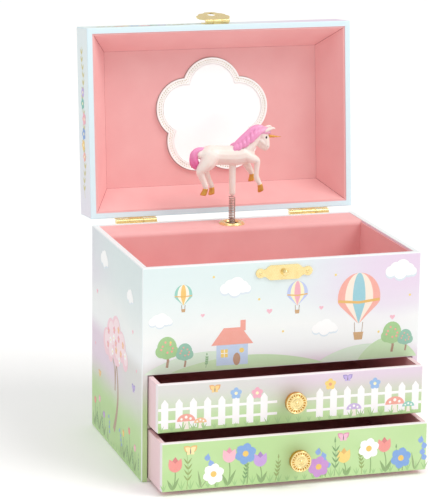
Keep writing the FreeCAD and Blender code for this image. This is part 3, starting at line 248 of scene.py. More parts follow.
def cabinet_paper():
    finish = Finish("printed_paper", specular_ior_level=PAPER_GLOSS)
    vector = finish.place()
    x, y, z = finish.axes(vector)
    side = wash(finish, y, z, vector, 40.0)
    # The sides turn a greyer blue towards the top, which is painted shade.
    side = finish.mix(finish.fade(z, 60, 120) * 0.7, side, "#D3E1E2")
    face, fold = wrapped(finish, x, y, wash(finish, x, z, vector), side)
    rim = finish.fade(z, CABINET_TOP - 0.8, CABINET_TOP - 0.2)
    return paper_grain(finish, vector, finish.mix(fold | rim, face, "#F4FBFD"))


coat(["left_side_panel", "right_side_panel", "back_panel", "front_panel"], cabinet_paper())
print("cabinet papered")

# %% [markdown]
# The lid is stored open, so its print is laid out as if it were shut: the position is turned back
# about the hinge before the washes are worked out. The joint's own record gives the hinge's place
# and the angle.

# %% Lid boards
LID_FOOT, LID_TOP = 120.3, 145
hinge = Vector(joints["lid_hinge"]["pos_m"])
lid_angle = math.radians(joints["lid_hinge"]["range_deg"][1])
lid_turn = Matrix.Rotation(-lid_angle, 4, "X")
open_lid = Matrix.Translation(hinge) @ lid_turn @ Matrix.Translation(-hinge)
shut_lid = open_lid.inverted()


def shut_place(finish):
    sockets = {"Vector": finish.place(), "Center": hinge, "Angle": lid_angle}
    return finish.node("VectorRotate", {"rotation_type": "X_AXIS"}, sockets)


def lid_paper():
    finish = Finish("printed_lid_paper", specular_ior_level=PAPER_GLOSS)
    vector = shut_place(finish)
    x, y, z = finish.axes(vector)
    # The lid's sides are greyer than its front, which is painted shade.
    side = finish.mix(0.45, wash(finish, y, z, vector), "#E4ECF1")
    face, fold = wrapped(finish, x, y, wash(finish, x, z, vector), side)
    top = finish.mix(finish.cloud(vector, 16, 3.0), "#E6F3F4", "#EFE3F3")
    face = finish.mix(z > LID_TOP - 0.4, face, top)
    rim = 1 - finish.fade(z, LID_FOOT + 0.1, LID_FOOT + 0.6)
    return paper_grain(finish, vector, finish.mix(fold | rim, face, "#E0F7FF"))


coat(["lid_top_panel", "lid_front_rail", "lid_back_rail", "lid_side_rails"], lid_paper())
print("lid papered, opened by", round(math.degrees(lid_angle), 1), "degrees")

# %% [markdown]
# A drawer has the print on its front only. Its sides are a pale pink and its inside is lined in
# the tray's deeper pink, so one finish looks at where a point lies in the drawer and picks the
# paper from that.

# %% Drawers
DRAWER_INSIDE = "#EFB3B6"


def drawer_paper(name, print_on):
    low, high = [corner * 1000 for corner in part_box(name + "_drawer_front")]
    finish = Finish(name + "_drawer_paper", specular_ior_level=PAPER_GLOSS)
    vector = finish.place()
    x, y, z = finish.axes(vector)
    if print_on:
        face = finish.mix(y > low.y + 2.9, wash(finish, x, z, vector), DRAWER_INSIDE)
        rim = finish.fade(z, high.z - 0.5, high.z - 0.1) * (y < high.y - 0.3)
        edge = finish.fade(abs(x), high.x - 0.6, high.x - 0.1)
        face = finish.mix(rim | edge, face, "#F6F0F3")
    else:
        outside = (abs(x) > high.x - 0.2) | (z > high.z - 0.2)
        face = finish.mix(outside, DRAWER_INSIDE, "#F3D3D9")
    return paper_grain(finish, vector, face, 0.5)


for name in ("upper", "lower"):
    inner_boards = [name + "_drawer_" + board for board in ("sides", "back", "bottom")]
    coat([name + "_drawer_front"], drawer_paper(name, True))
    coat(inner_boards, drawer_paper(name, False))
print("drawers papered")

# %% [markdown]
# The tray and the inside of the lid are lined with pink paper on card. It is matt, with a faint
# woven tooth and a little unevenness where the glue pulled. A weave could be drawn thread by
# thread, but at this size it is only a tooth, so a fine noise does for it, and a slow one for the
# glue. The bare board of the base and the divider shows a coarser, browner grain.

# %% Linings and bare board
def lining_paper():
    finish = Finish("pink_lining", specular_ior_level=0.2, sheen_weight=0.15)
    vector = finish.place()
    weave = finish.cloud(vector, 3000, 1.0)
    ripple = finish.cloud(vector, 60, 3.0)
    colour = finish.ramp(ripple, (0.3, "#F3B5B5"), (0.7, "#F6BDBC"))
    colour = finish.mix(weave * 0.08, colour, "#E5A0A2")
    finish.paint(base_color=colour, roughness=ripple * 0.15 + 0.6)
    finish.bump(weave * 0.4 + ripple, 0.00008, 0.3)
    return finish


def bare_board():
    finish = Finish("bare_board")
    fibre = finish.cloud(finish.stretched(finish.place(), (1.0, 0.2, 1.0)), 900, 5.0, 0.7)
    colour = finish.ramp(fibre, (0.3, "#CBC3B4"), (0.7, "#DED8CC"))
    finish.paint(base_color=colour, roughness=fibre * 0.2 + 0.7)
    finish.bump(fibre, 0.0001, 0.4)
    return finish


coat(["movement_cover", "tray_lining", "lid_lining_back", "lid_lining_slopes"], lining_paper())
coat(["base_panel", "tray_floor_panel", "drawer_divider"], bare_board())
print("linings and boards done")

# %% [markdown]
# ## Metals, mirror and plastic
# The fittings are stamped sheet with a thin gold plating, so they are bright but never perfectly
# smooth. One gold colour would look like paint or like a perfect mirror. A stretched noise gives
# the rolled sheet its lines, and a larger one the small dents and the tarnish. The mirror shows a
# bright haze and no clear picture, so its glass is painted nearly white and given a faint glow,
# which together are a painted reflection of the pale room.

# %% Metal finishes
def metal(name, light, dark, roughness, dent=0.00001):
    finish = Finish(name, metallic=1.0)
    vector = finish.place()
    rolled = finish.cloud(finish.stretched(vector, (1.0, 1.0, 9.0)), 700, 3.0)
    tarnish = finish.cloud(vector, 260, 4.0, 0.6)
    finish.paint(base_color=finish.mix(finish.fade(tarnish, 0.4, 0.8) * 0.4, light, dark))
    finish.paint(roughness=tarnish * 0.12 + rolled * 0.08 + (roughness - 0.1))
    finish.bump(tarnish * 0.4 + rolled * 0.3, dent, 0.2)
    return finish


slots = {}
for row in frame["record"]["subparts"]:
    slots.setdefault(row["material_slot"], []).append(row["node"])
gilt = metal("gilt_metal", "#FCE6A8", "#E3BF72", 0.26)
gilt.paint(metallic=0.8)
coat(slots["gold_metal"], gilt)
coat(slots["steel"], metal("bright_steel", "#D9D5D2", "#A79A94", 0.26))
coat(slots["zinc"], metal("cast_zinc", "#A9A9AA", "#858688", 0.42, 0.0001))
print("metals on", sum(len(slots[s]) for s in ("gold_metal", "steel", "zinc")), "nodes")

# %% Mirror and plastics
def mirror_face():
    finish = Finish("silvered_glass", metallic=0.15, coat_weight=0.3)
    # The near-white colour and the glow are a painted reflection of the pale room.
    finish.paint(emission_color="#FFFFFF", emission_strength=0.2)
    haze = finish.cloud(finish.place(), 90, 3.0)
    silver = finish.ramp(haze, (0.3, "#F9FBFB"), (0.7, "#FFFFFF"))
    finish.paint(base_color=silver, roughness=haze * 0.06 + 0.27)
    return finish


def moulded(name, light, dark, roughness):
    finish = Finish(name, coat_weight=0.15)
    vector = finish.place()
    drift = finish.cloud(vector, 120, 3.0)
    pores = finish.cloud(vector, 1500, 2.0)
    colour = finish.ramp(drift, (0.3, dark), (0.7, light))
    finish.paint(base_color=colour, roughness=pores * 0.12 + (roughness - 0.06))
    finish.bump(pores, 0.00002, 0.4)
    return finish


coat(["mirror_glass"], mirror_face())
trim = moulded("silver_trim", "#FFFFFF", "#F4F3F0", 0.3)
# The frame's faint glow is painted light.
trim.paint(metallic=0.2, emission_color="#FFFFFF", emission_strength=0.16)
coat(["mirror_frame"], trim)
coat(["governor_fan"], moulded("dark_plastic", "#2A2A2C", "#1C1C1E", 0.45))
print("mirror and plastics done")

# %% [markdown]
# ## Building meshes
# The figure and the fittings are built from rings of points. A lathe, a limb and a wire are all
# skins over rings, so one function joins the rings and closes the ends, and another gives the
# piece its finish and makes it ride on its body.

# %% Rings and skins
UP, BACK, RIGHT = Vector((0, 0, 1)), Vector((0, 1, 0)), Vector((1, 0, 0))


def turns(count):
    # The angles of points that are spread evenly round a circle.
    return [2 * math.pi * step / count for step in range(count)]


def hoop(centre, right, up, radius, count):
    return [centre + (right * math.cos(a) + up * math.sin(a)) * radius for a in turns(count)]


def skin(rings):
    count = len(rings[0])
    points = [point for ring in rings for point in ring]
    faces = []
    for step in range(len(rings) - 1):
        for side in range(count):
            a, b = step * count + side, step * count + (side + 1) % count
            faces.append((a, b, b + count, a + count))
    faces.append(tuple(reversed(range(count))))
    faces.append(tuple(range(len(points) - count, len(points))))
    return points, faces


def joined(skins):
    points, faces = [], []
    for some_points, some_faces in skins:
        faces += [tuple(index + len(points) for index in face) for face in some_faces]
        points += some_points
    return points, faces


print("rings and skins ready")

# %% Pieces
def piece(name, body, finish, shape, stands_for=(), flat=False):
    if isinstance(shape, bpy.types.Mesh):
        mesh = shape
        mesh.name = name
    else:
        mesh = bpy.data.meshes.new(name)
        mesh.from_pydata([tuple(p) for p in shape[0]], [], shape[1])
    mesh.polygons.foreach_set("use_smooth", [not flat] * len(mesh.polygons))
    mesh.materials.clear()
    if finish:
        mesh.materials.append(finish.material)
    made = bpy.data.objects.new(name, mesh)
    bpy.context.scene.collection.objects.link(made)
    if body:
        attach(made, body)
    if stands_for:
        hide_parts(*stands_for)
    return made


print("mesh helpers ready")

# %% [markdown]
# ## The unicorn's body
# The real figure is a small moulded casting. It could be sculpted by hand, but numbers are easier
# to correct against the photograph, so it is modelled like clay: smooth limbs are laid over one
# another, a voxel remesh melts them into one skin, and a few rounds of smoothing soften the joins.
# Each limb is a list of stations, which give distances along the figure, across it and above the
# shelf, and a radius.

# %% Limbs
spindle_y = joints["figure_fold"]["pos_m"][1]
shelf_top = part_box("movement_cover")[1].z
SHELF = shelf_top / MM
LIMB_SIDES, LEAST_RADIUS = 14, 0.05
ROUND_END = [(0.45, 0.9), (0.8, 0.6), (0.97, 0.25)]


def spot(along, across, above):
    return Vector((along * MM, spindle_y + across * MM, shelf_top + above * MM))


def smooth_run(stations, steps):
    # A Catmull-Rom curve through the stations, radius included.
    run = []
    last = len(stations) - 1
    for number in range(last):
        near = [stations[min(max(number + shift, 0), last)] for shift in (-1, 0, 1, 2)]
        for step in range(steps):
            t = step / steps
            weights = (-t + 2 * t ** 2 - t ** 3, 2 - 5 * t ** 2 + 3 * t ** 3,
                       t + 4 * t ** 2 - 3 * t ** 3, -t ** 2 + t ** 3)
            run.append([sum(w * s[i] for w, s in zip(weights, near)) / 2 for i in range(4)])
    return run + [list(stations[-1])]


def limb(stations, steps=5):
    run = smooth_run(stations, steps)
    places = [spot(*station[:3]) for station in run]
    last = len(places) - 1
    rings = []
    for number, place in enumerate(places):
        way = (places[min(number + 1, last)] - places[max(number - 1, 0)]).normalized()
        rise = way.cross(BACK)
        rise = rise.normalized() if rise.length > 0.05 else RIGHT
        side = rise.cross(way)
        radius = max(run[number][3], LEAST_RADIUS) * MM
        caps = [(0, 1)]
        if number == 0:
            caps = [(-reach, share) for reach, share in reversed(ROUND_END)] + caps
        elif number == last:
            caps = caps + ROUND_END
        for reach, share in caps:
            centre = place + way * (reach * radius)
            rings.append(hoop(centre, rise, side, radius * share, LIMB_SIDES))
    return skin(rings)


print("limbs ready, shelf at", round(SHELF, 2), "mm")

# %% Clay
def mirrored(stations):
    return [(along, -across, above, radius) for along, across, above, radius in stations]


def clay(name, limbs, voxel, rounds):
    lump = piece(name + "_lump", None, None, joined(limbs))
    melt = lump.modifiers.new("melt", "REMESH")
    melt.mode = "VOXEL"
    melt.voxel_size = voxel * MM
    rub = lump.modifiers.new("rub", "SMOOTH")
    rub.factor = 0.5
    rub.iterations = rounds
    ready = lump.evaluated_get(bpy.context.evaluated_depsgraph_get())
    mesh = bpy.data.meshes.new_from_object(ready)
    bpy.data.objects.remove(lump)
    return mesh


print("clay ready")

# %% Body stations
BODY_VOXEL, BODY_ROUNDS = 0.3, 5
TORSO = [(-19.4, 0, 41.9, 3.0), (-15.9, 0, 41.5, 5.3), (-11, 0, 41.1, 5.8), (-5, 0, 40.6, 5.7),
         (1, 0, 40.3, 5.9), (5.8, 0, 40.9, 6.0), (9.0, 0, 41.4, 4.8), (10.6, 0, 41.2, 2.8)]
NECK = [(5.4, 0, 42.2, 5.0), (9.0, 0, 45.3, 4.4), (12.2, 0, 48.6, 3.8), (14.6, 0, 51.4, 3.3),
        (16.2, 0, 53.2, 2.8)]
HEAD = [(15.2, 0, 53.2, 2.7), (17.2, 0, 52.0, 3.5), (18.6, 0, 49.6, 3.3), (19.5, 0, 47.0, 2.8),
        (19.8, 0, 45.0, 2.5), (19.6, 0, 44.3, 2.2)]
JAW = [(15.4, 0, 50.4, 2.6), (16.0, 0, 48.4, 2.9), (16.9, 0, 46.6, 2.7), (17.8, 0, 45.2, 2.2)]
EAR = [(16.8, 2.5, 52.8, 0.8), (19.2, 2.8, 54.4, 1.0), (21.6, 3.0, 55.5, 0.95),
       (23.4, 3.1, 55.9, 0.7), (24.6, 3.1, 55.2, 0.3)]
BROW = [(17.0, 2.4, 52.0, 0.9), (18.8, 2.7, 51.4, 0.8), (20.2, 2.4, 50.0, 0.5)]
CHEEK = [(16.4, 1.8, 48.6, 1.8), (17.8, 1.7, 47.2, 1.5)]
NEAR_FORE = [(7.0, -2.4, 40.5, 3.7), (9.8, -3.0, 39.0, 3.2), (12.2, -3.2, 38.0, 2.6),
             (13.6, -3.2, 36.9, 2.15), (13.8, -3.2, 34.6, 1.75), (13.6, -3.2, 31.2, 1.5),
             (13.5, -3.2, 28.0, 1.55), (14.3, -3.2, 25.7, 1.65), (15.7, -3.2, 23.3, 1.35)]
FAR_FORE = [(6.6, 2.4, 40.0, 3.6), (8.2, 3.0, 36.8, 2.8), (10.4, 3.2, 32.8, 2.1),
            (12.0, 3.2, 30.2, 1.8), (12.9, 3.2, 28.4, 1.4)]
NEAR_HIND = [(-13.0, -2.2, 41.0, 4.8), (-15.6, -2.8, 37.4, 4.6), (-18.6, -3.0, 34.4, 3.6),
             (-20.2, -3.0, 32.2, 2.7), (-19.6, -3.0, 29.4, 2.1), (-18.2, -3.0, 26.4, 1.75),
             (-17.2, -3.0, 23.8, 1.75), (-16.9, -3.0, 22.2, 1.4)]
FAR_HIND = [(-12.6, 2.2, 40.6, 4.5), (-14.2, 2.8, 36.4, 3.9), (-15.4, 3.0, 32.6, 2.8),
            (-15.0, 3.0, 30.4, 2.2), (-13.8, 3.0, 27.2, 1.7), (-12.4, 3.0, 24.4, 1.5),
            (-11.8, 3.0, 22.8, 1.6), (-11.4, 3.0, 21.6, 1.35)]
POST = [(0, 0, 18.4, 2.0), (0, 0, 26, 2.0), (0, 0, 38, 2.1)]
body_runs = [TORSO, NECK, HEAD, JAW, NEAR_FORE, FAR_FORE, NEAR_HIND, FAR_HIND, POST]
for pair in (EAR, BROW, CHEEK):
    body_runs += [pair, mirrored(pair)]
body_clay = clay("unicorn", [limb(run) for run in body_runs], BODY_VOXEL, BODY_ROUNDS)
print("unicorn:", len(body_clay.polygons), "faces")

# %% [markdown]
# The casting is painted a warm cream, with a blush on the muzzle. Paint on a small figure pools a
# little, so a slow noise shifts the cream, and a trace of light goes under the surface as it does
# in plastic.

# %% Body paint
def cream_paint():
    finish = Finish("cream_paint", coat_weight=0.25, subsurface_weight=0.06)
    finish.paint(subsurface_radius=(0.004, 0.002, 0.0015))
    vector = finish.place()
    x, _, z = finish.axes(vector)
    drift = finish.cloud(vector, 150, 3.0)
    colour = finish.ramp(drift, (0.3, "#F7E9E0"), (0.7, "#FBF3EC"))
    muzzle = (1 - finish.fade(z, SHELF + 42.5, SHELF + 45.5)) * finish.fade(x, 16, 19)
    colour = finish.mix(muzzle * 0.35, colour, "#EFC9C0")
    finish.paint(base_color=colour, roughness=drift * 0.12 + 0.26)
    finish.bump(finish.cloud(vector, 900, 2.0), 0.00003, 0.3)
    return finish


piece("unicorn_skin", "figure", cream_paint(), body_clay, ["unicorn_body"])
print("unicorn painted")

# %% [markdown]
# ## Mane, tail, horn and hooves
# Hair on a casting is a set of fat locks. Each lock is a tapered limb, and a lump of overlapping
# locks is melted like the body, but with a finer voxel so that the grooves between them stay. The
# paint is a hot pink that fades towards the head, with darker pink in fine strands.

# %% Hair paint
HAIR_VOXEL, HAIR_ROUNDS = 0.26, 2


def hair_paint():
    finish = Finish("pink_hair", coat_weight=0.2)
    vector = finish.place()
    x, _, z = finish.axes(vector)
    strands = finish.cloud(finish.stretched(vector, (1.0, 0.5, 0.6)), 1300, 3.0)
    low = 1 - finish.fade(z, SHELF + 36, SHELF + 46)
    head = finish.fade(x, 11, 20)
    colour = finish.mix(low, "#F5A3D0", "#E66AA6")
    colour = finish.mix(head * 0.75, colour, "#F4C3DC")
    colour = finish.mix(strands * 0.35, colour, "#EE8CC2")
    finish.paint(base_color=colour, roughness=strands * 0.2 + 0.28)
    finish.bump(strands, 0.00012, 0.5)
    return finish


hair = hair_paint()
print("hair paint mixed")

# %% Mane
MANE_LOCKS = 10
CREST = [(19.4, 0, 55.0, 1.2), (16.4, 0, 55.8, 1.8), (12.6, 0, 55.2, 2.1), (8.2, 0, 51.6, 2.2),
         (4.2, 0, 48.2, 2.1), (1.4, 0, 46.0, 1.7), (0.2, 0, 45.0, 1.2)]
LOWER_EDGE = [(15.2, 0, 53.0, 0), (13.3, 0, 51.2, 0), (11.4, 0, 49.6, 0), (9.0, 0, 47.9, 0),
              (5.6, 0, 45.9, 0), (2.4, 0, 44.6, 0), (0.6, 0, 44.2, 0)]
UNDERLAY = [(16.4, 2.2, 54.2, 1.6), (12.2, 2.6, 52.4, 2.0), (8.2, 2.6, 49.4, 2.0),
            (4.2, 2.4, 46.6, 1.9), (1.6, 1.8, 45.0, 1.4)]
FORELOCK = [(17.2, 2.4, 53.0, 1.0), (19.4, 2.4, 53.6, 1.25), (21.3, 1.7, 53.4, 1.0),
            (22.3, 0.8, 52.4, 0.5)]
crest_run, edge_run = smooth_run(CREST, 8), smooth_run(LOWER_EDGE, 8)
locks = [limb(CREST), limb(UNDERLAY), limb(mirrored(UNDERLAY))]
for number in range(MANE_LOCKS):
    share = number / (MANE_LOCKS - 1)
    root = crest_run[round(share * (len(crest_run) - 4))]
    tip = edge_run[round(share * (len(edge_run) - 1))]
    middle = [(root[i] + tip[i]) / 2 for i in range(3)]
    width = 3.8 + 0.8 * math.sin(share * math.pi)
    longer = number % 2
    for side in (-1, 1):
        lock = [(root[0] + 0.8, side * 0.9, root[2] + 0.3, 0.9),
                (middle[0] + 0.2, side * (width - 0.8), middle[2] + 0.9, 1.25),
                (tip[0] - 0.2 - 0.3 * longer, side * width, tip[2] + 0.5 - 0.4 * longer, 1.0),
                (tip[0] - 1.3 - 0.6 * longer, side * (width - 0.1), tip[2] - 0.5 - longer, 0.35)]
        locks.append(limb(lock))
locks += [limb(FORELOCK), limb(mirrored(FORELOCK))]
mane_clay = clay("mane", locks, HAIR_VOXEL, HAIR_ROUNDS)
piece("unicorn_mane_locks", "figure", hair, mane_clay, ["unicorn_mane"])
print("mane:", len(locks), "locks,", len(mane_clay.polygons), "faces")

# %% Tail
TAIL_LOCKS = 6
TAIL = [(-17.0, 0, 44.6, 1.1), (-20.4, 0, 44.4, 1.6), (-23.0, 0, 42.8, 1.8),
        (-23.5, 0, 39.4, 1.9), (-22.8, 0, 36.0, 1.9), (-21.8, 0, 33.6, 0.9)]
tail_run = smooth_run(TAIL, 4)
strands = [limb(TAIL)]
for start in turns(TAIL_LOCKS):
    lock = []
    for step, (along, across, above, radius) in enumerate(tail_run):
        share = step / (len(tail_run) - 1)
        swing = start + 2.4 * share
        off = radius * 0.75
        lock.append((along + off * math.cos(swing), across + off * math.sin(swing),
                     above + off * 0.3 * math.cos(swing), radius * 0.62))
    strands.append(limb(lock, 2))
tail_clay = clay("tail", strands, HAIR_VOXEL, HAIR_ROUNDS)
piece("unicorn_tail_locks", "figure", hair, tail_clay, ["unicorn_tail"])
print("tail:", len(strands), "locks,", len(tail_clay.polygons), "faces")

# %% [markdown]
# The horn and the hooves are painted gold. The horn is a lathe whose radius also swells and sinks
# round the axis, and the swell turns as it rises, which gives the twist. A hoof flares from the
# pastern to a flat sole, and its toe reaches further than its heel.

# %% Horn and hooves
HORN_LENGTH, HORN_RADIUS, HORN_TIP, HORN_RINGS = 8.5, 0.95, 0.12, 60
HOOF = ((-0.3, 0.9, 0), (0.2, 1.5, 0), (0.5, 1.65, 0.05), (0.8, 1.55, 0.05), (1.3, 1.65, 0.14),
        (2.4, 1.85, 0.35), (3.5, 1.95, 0.55), (3.9, 1.85, 0.6), (4.0, 1.5, 0.55), (3.85, 1.0, 0.4))
gold_paint = metal("gold_paint", "#E6AC54", "#9C5A1C", 0.3)
gold_paint.paint(metallic=0.6)


def horn():
    foot, way = spot(20.8, 0, 50.8), Vector((1, 0, -0.1)).normalized()
    rise = way.cross(BACK).normalized()
    side = rise.cross(way)
    rings = []
    for step in range(HORN_RINGS + 1):
        share = step / HORN_RINGS
        centre = foot + way * (HORN_LENGTH * share * MM)
        ring = []
        for angle in turns(24):
            groove = 1 + 0.13 * math.cos(2 * angle - 9 * math.pi * share)
            radius = (HORN_RADIUS * (1 - share) + HORN_TIP) * groove * MM
            ring.append(centre + (rise * math.cos(angle) + side * math.sin(angle)) * radius)
        rings.append(ring)
    return skin(rings)


def hoof(stations, lean):
    ankle = spot(*stations[-1][:3])
    way = Vector((lean, 0, -1)).normalized()
    toe = way.cross(BACK).normalized() * -1
    side = toe.cross(way)
    rings = []
    for reach, width, push in HOOF:
        ring = []
        for angle in turns(20):
            forward = math.cos(angle) * (1.1 if math.cos(angle) > 0 else 0.85) + push
            off = way * reach + toe * (forward * width) + side * (math.sin(angle) * width)
            ring.append(ankle + off * MM)
        rings.append(ring)
    return skin(rings)


feet = [hoof(NEAR_FORE, 0.55), hoof(FAR_FORE, 0.25), hoof(NEAR_HIND, -0.05), hoof(FAR_HIND, 0.3)]
piece("unicorn_twisted_horn", "figure", gold_paint, horn(), ["unicorn_horn"])
piece("unicorn_shod_hooves", "figure", gold_paint, joined(feet), ["unicorn_hooves"])
print("horn and", len(feet), "hooves done")

# %% [markdown]
# The eyes are painted domes. A ray fired from each side of the head finds the skin, so the dome
# sits on it whatever the smoothing did. A smaller dome on top is the glint, a painted highlight, and
# two shallow dark dots are the nostrils, painted shade in place of the dents.

# %% Eyes and nostrils
RAY_START, DOME_SINK = 12, 0.06
figure_skin = BVHTree.FromPolygons([v.co for v in body_clay.vertices],
                                   [p.vertices[:] for p in body_clay.polygons])


def domes(along, above, width, height, rise):
    skins = []
    for side in (-1, 1):
        start = spot(along, side * RAY_START, above)
        hit, normal = figure_skin.ray_cast(start, BACK * -side)[:2]
        upward = (UP - normal * normal.z).normalized()
        across = normal.cross(upward)
        rings = []
        for share in (0, 0.25, 0.5, 0.75, 0.95):
            centre = hit + normal * ((rise * share - DOME_SINK) * MM)
            out = math.sqrt(1 - share ** 2) * MM
            rings.append(hoop(centre, across * width, upward * height, out, 16))
        skins.append(skin(rings))
    return skins


eye_paint_and_nostril_shade = moulded("eye_paint_and_nostril_shade", "#1B2136", "#10131F", 0.2)
glint_paint = moulded("glint_paint", "#FFFFFF", "#F2F4F8", 0.2)
eyes = domes(19.3, 50.6, 0.62, 0.85, 0.3) + domes(20.6, 45.2, 0.3, 0.22, 0.12)
glints = domes(19.55, 51.0, 0.2, 0.22, 0.42)
piece("unicorn_eyes", "figure", eye_paint_and_nostril_shade, joined(eyes))
piece("unicorn_eye_glints", "figure", glint_paint, joined(glints))
print("eyes and nostrils:", len(eyes) + len(glints), "domes")

# %% [markdown]
# ## The coil spring
# The figure stands on a close spring of steel wire, which lets it fold when the lid shuts. A
# bevelled curve would give the same wire, but a mesh can be bent point by point, so here a ring of
# points is carried along a helix.

# %% Spring
COILS, WIRE_RADIUS, PEG_LENGTH = 16.5, 0.275 * MM, 4.4 * MM
COIL_STEPS, WIRE_SIDES = 22, 8


def heading(angle):
    return Vector((math.cos(angle), math.sin(angle), 0))


def wire_coil(foot, head, radius):
    count = int(COILS * COIL_STEPS)
    rise = (head - foot) - UP * (2 * WIRE_RADIUS)
    rings = []
    for step in range(count + 1):
        out = heading(2 * math.pi * step / COIL_STEPS)
        place = foot + UP * WIRE_RADIUS + rise * (step / count)
        rings.append(hoop(place + out * (radius - WIRE_RADIUS), out, UP, WIRE_RADIUS, WIRE_SIDES))
    return skin(rings)


low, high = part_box("figure_spring")
middle = (low + high) / 2
foot, head = Vector((middle.x, middle.y, low.z)), Vector((middle.x, middle.y, high.z))
coil = wire_coil(foot, head, (high.x - low.x) / 2)
spring_steel = metal("spring_steel", "#BFA69C", "#8A7066", 0.3)
spring = piece("figure_coil_spring", None, spring_steel, coil)
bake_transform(spring)
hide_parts("figure_spring")
print("spring:", round((high.z - low.z) / MM, 1), "mm long")

# %% [markdown]
# ## Knobs and mirror trim
# A drawer knob is turned, and its flat face is pressed with a ring of notches between fine raised
# rings. The notches are darker, and the edge is painted a darker gold, which is a painted
# reflection of the drawer's front. A lathe profile gives the rings, a clipped cosine presses the
# notches, and a dark lens lies at the foot of each.

# %% Shape of a drawer knob
KNOB_BACK = [(3.4, 0.02), (3.4, 0.8), (2.9, 1.2), (2.5, 1.7), (2.5, 3.2), (3.2, 3.9), (5.2, 4.7),
             (5.85, 5.2), (6.0, 5.6), (6.0, 7.7), (5.9, 7.9)]
KNOB_FACE = [(5.8, 7.7), (5.9, 7.9), (5.85, 8.2), (5.65, 8.4), (5.35, 8.45), (5.15, 8.35),
             (5.05, 8.15), (4.85, 8.1), (4.15, 8.1), (3.95, 8.15), (3.85, 8.35), (3.6, 8.5),
             (3.3, 8.35), (3.1, 8.15), (2.5, 8.15), (2.3, 8.3), (2.0, 8.4), (1.7, 8.3),
             (1.4, 8.15), (1.0, 8.25), (0.7, 8.7), (0.4, 8.9), (0.15, 8.95)]
NOTCHES, NOTCH_DEPTH, NOTCH_RADIUS = 20, 0.7, 4.5


def on_knob(seat, radius, angle, reach):
    return seat + Vector((radius * math.cos(angle), -reach, radius * math.sin(angle))) * MM


def turned(seat, profile):
    rings = []
    for radius, reach in profile:
        pressed = reach > 8 and abs(radius - NOTCH_RADIUS) < 0.4
        ring = []
        for angle in turns(NOTCHES * 6):
            notch = max(0.0, math.cos(NOTCHES * angle)) ** 0.5 if pressed else 0.0
            ring.append(on_knob(seat, radius, angle, reach - NOTCH_DEPTH * notch))
        rings.append(ring)
    return skin(rings)


def notch_lens(seat, angle):
    rings = []
    for size, reach in ((1.0, 7.2), (1.0, 7.66), (0.7, 7.72)):
        rings.append([on_knob(seat, NOTCH_RADIUS + 0.42 * size * math.cos(t),
                              angle + 0.065 * size * math.sin(t), reach) for t in turns(12)])
    return skin(rings)


print("knob:", len(KNOB_BACK) + len(KNOB_FACE), "rings,", NOTCHES, "notches")

# %% Drawer knobs
# The darker gold of the knob's edge is a painted reflection of the drawer's front.
edge_gilt_painted_reflection = metal("edge_gilt_painted_reflection", "#D69A45", "#A9702A", 0.32)
notch_gilt = metal("notch_gilt", "#6E4318", "#4A2B10", 0.45)
for name in ("upper", "lower"):
    body = name + "_drawer"
    low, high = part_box(name + "_drawer_front")
    seat = Vector(((low.x + high.x) / 2, low.y, (low.z + high.z) / 2))
    face, edge = turned(seat, KNOB_FACE), turned(seat, KNOB_BACK)
    notches = joined([notch_lens(seat, angle) for angle in turns(NOTCHES)])
    piece(name + "_fluted_knob", body, gilt, face, [name + "_drawer_knob"])
    piece(name + "_knob_edge", body, edge_gilt_painted_reflection, edge)
    piece(name + "_knob_notches", body, notch_gilt, notches)
    print(name, "knob seated at height", round(seat.z / MM, 1), "mm")

# %% [markdown]
# Where the cards of the lid's lining meet, a dark line shows the gap; the line is painted shade in
# the corners. A line in the paper's shader would have to know where the cards end, so a thin rod
# lies in each corner instead. Its ends come from the lining's own mesh, turned back to the shut lid,
# where the cards are square to the axes.

# %% Seams of the lid's lining
CORNER_SEAM, INNER_SEAM = 0.15, 0.06
CORNERS = [(-1, -1), (1, -1), (1, 1), (-1, 1)]
slopes = [shut_lid @ v.co for v in nodes["lid_lining_slopes"].data.vertices]
mouth, deep = min(p.z for p in slopes), max(p.z for p in slopes)


def lining_corner(height, right, front):
    level = [p for p in slopes if abs(p.z - height) < 0.05 * MM]
    x, y = min(abs(p.x) for p in level), min(abs(p.y) for p in level)
    return open_lid @ Vector((right * x, front * y, height))


def seam(start, end, radius):
    way = (end - start).normalized()
    across = way.orthogonal().normalized()
    over = way.cross(across)
    return skin([hoop(place, across, over, radius * MM, 8) for place in (start, end)])


seams = [seam(lining_corner(mouth, *c), lining_corner(deep, *c), CORNER_SEAM) for c in CORNERS]
for here, there in zip(CORNERS, CORNERS[1:] + CORNERS[:1]):
    seams.append(seam(lining_corner(deep, *here), lining_corner(deep, *there), INNER_SEAM))
# The rods are painted shade in the corners of the lining.
seam_shade = moulded("seam_shade", "#BC7075", "#A95F64", 0.8)
piece("lid_lining_seams", "lid", seam_shade, joined(seams))
print("lining seams:", len(seams))

# %% [markdown]
# The mirror's border carries two rows of pressed pearls between two dark lines, which follow the
# five lobes of its outline. The outer line is a painted contact shadow where the border meets the
# lining; the inner one runs round the edge of the glass. Each lobe is an arc of a circle, so one
# generator gives the arcs, and the pearls and the lines are both spaced along them.

# %% Arcs of the mirror's border
LOBES, LOBE_RADIUS, LOBE_OFFSET, BORDER = 5, 17.8, 17.0, 3.7
shut_frame = [shut_lid @ v.co for v in nodes["mirror_frame"].data.vertices]
frame_face, frame_back = min(p.z for p in shut_frame), max(p.z for p in shut_frame)


def lobes(radius):
    # The middle and the half sweep of each of the five arcs, which run from one valley to the next.
    half = math.pi / LOBES
    sweep = half + math.asin(LOBE_OFFSET * math.sin(half) / radius)
    for turn in turns(LOBES):
        middle = -math.pi / 2 + turn
        yield heading(middle) * LOBE_OFFSET, middle, sweep


print("mirror border:", round((frame_back - frame_face) / MM, 2), "mm thick")

# %% Pearls
PEARL_SPACING, PEARL_SEAT = 1.5, 0.42


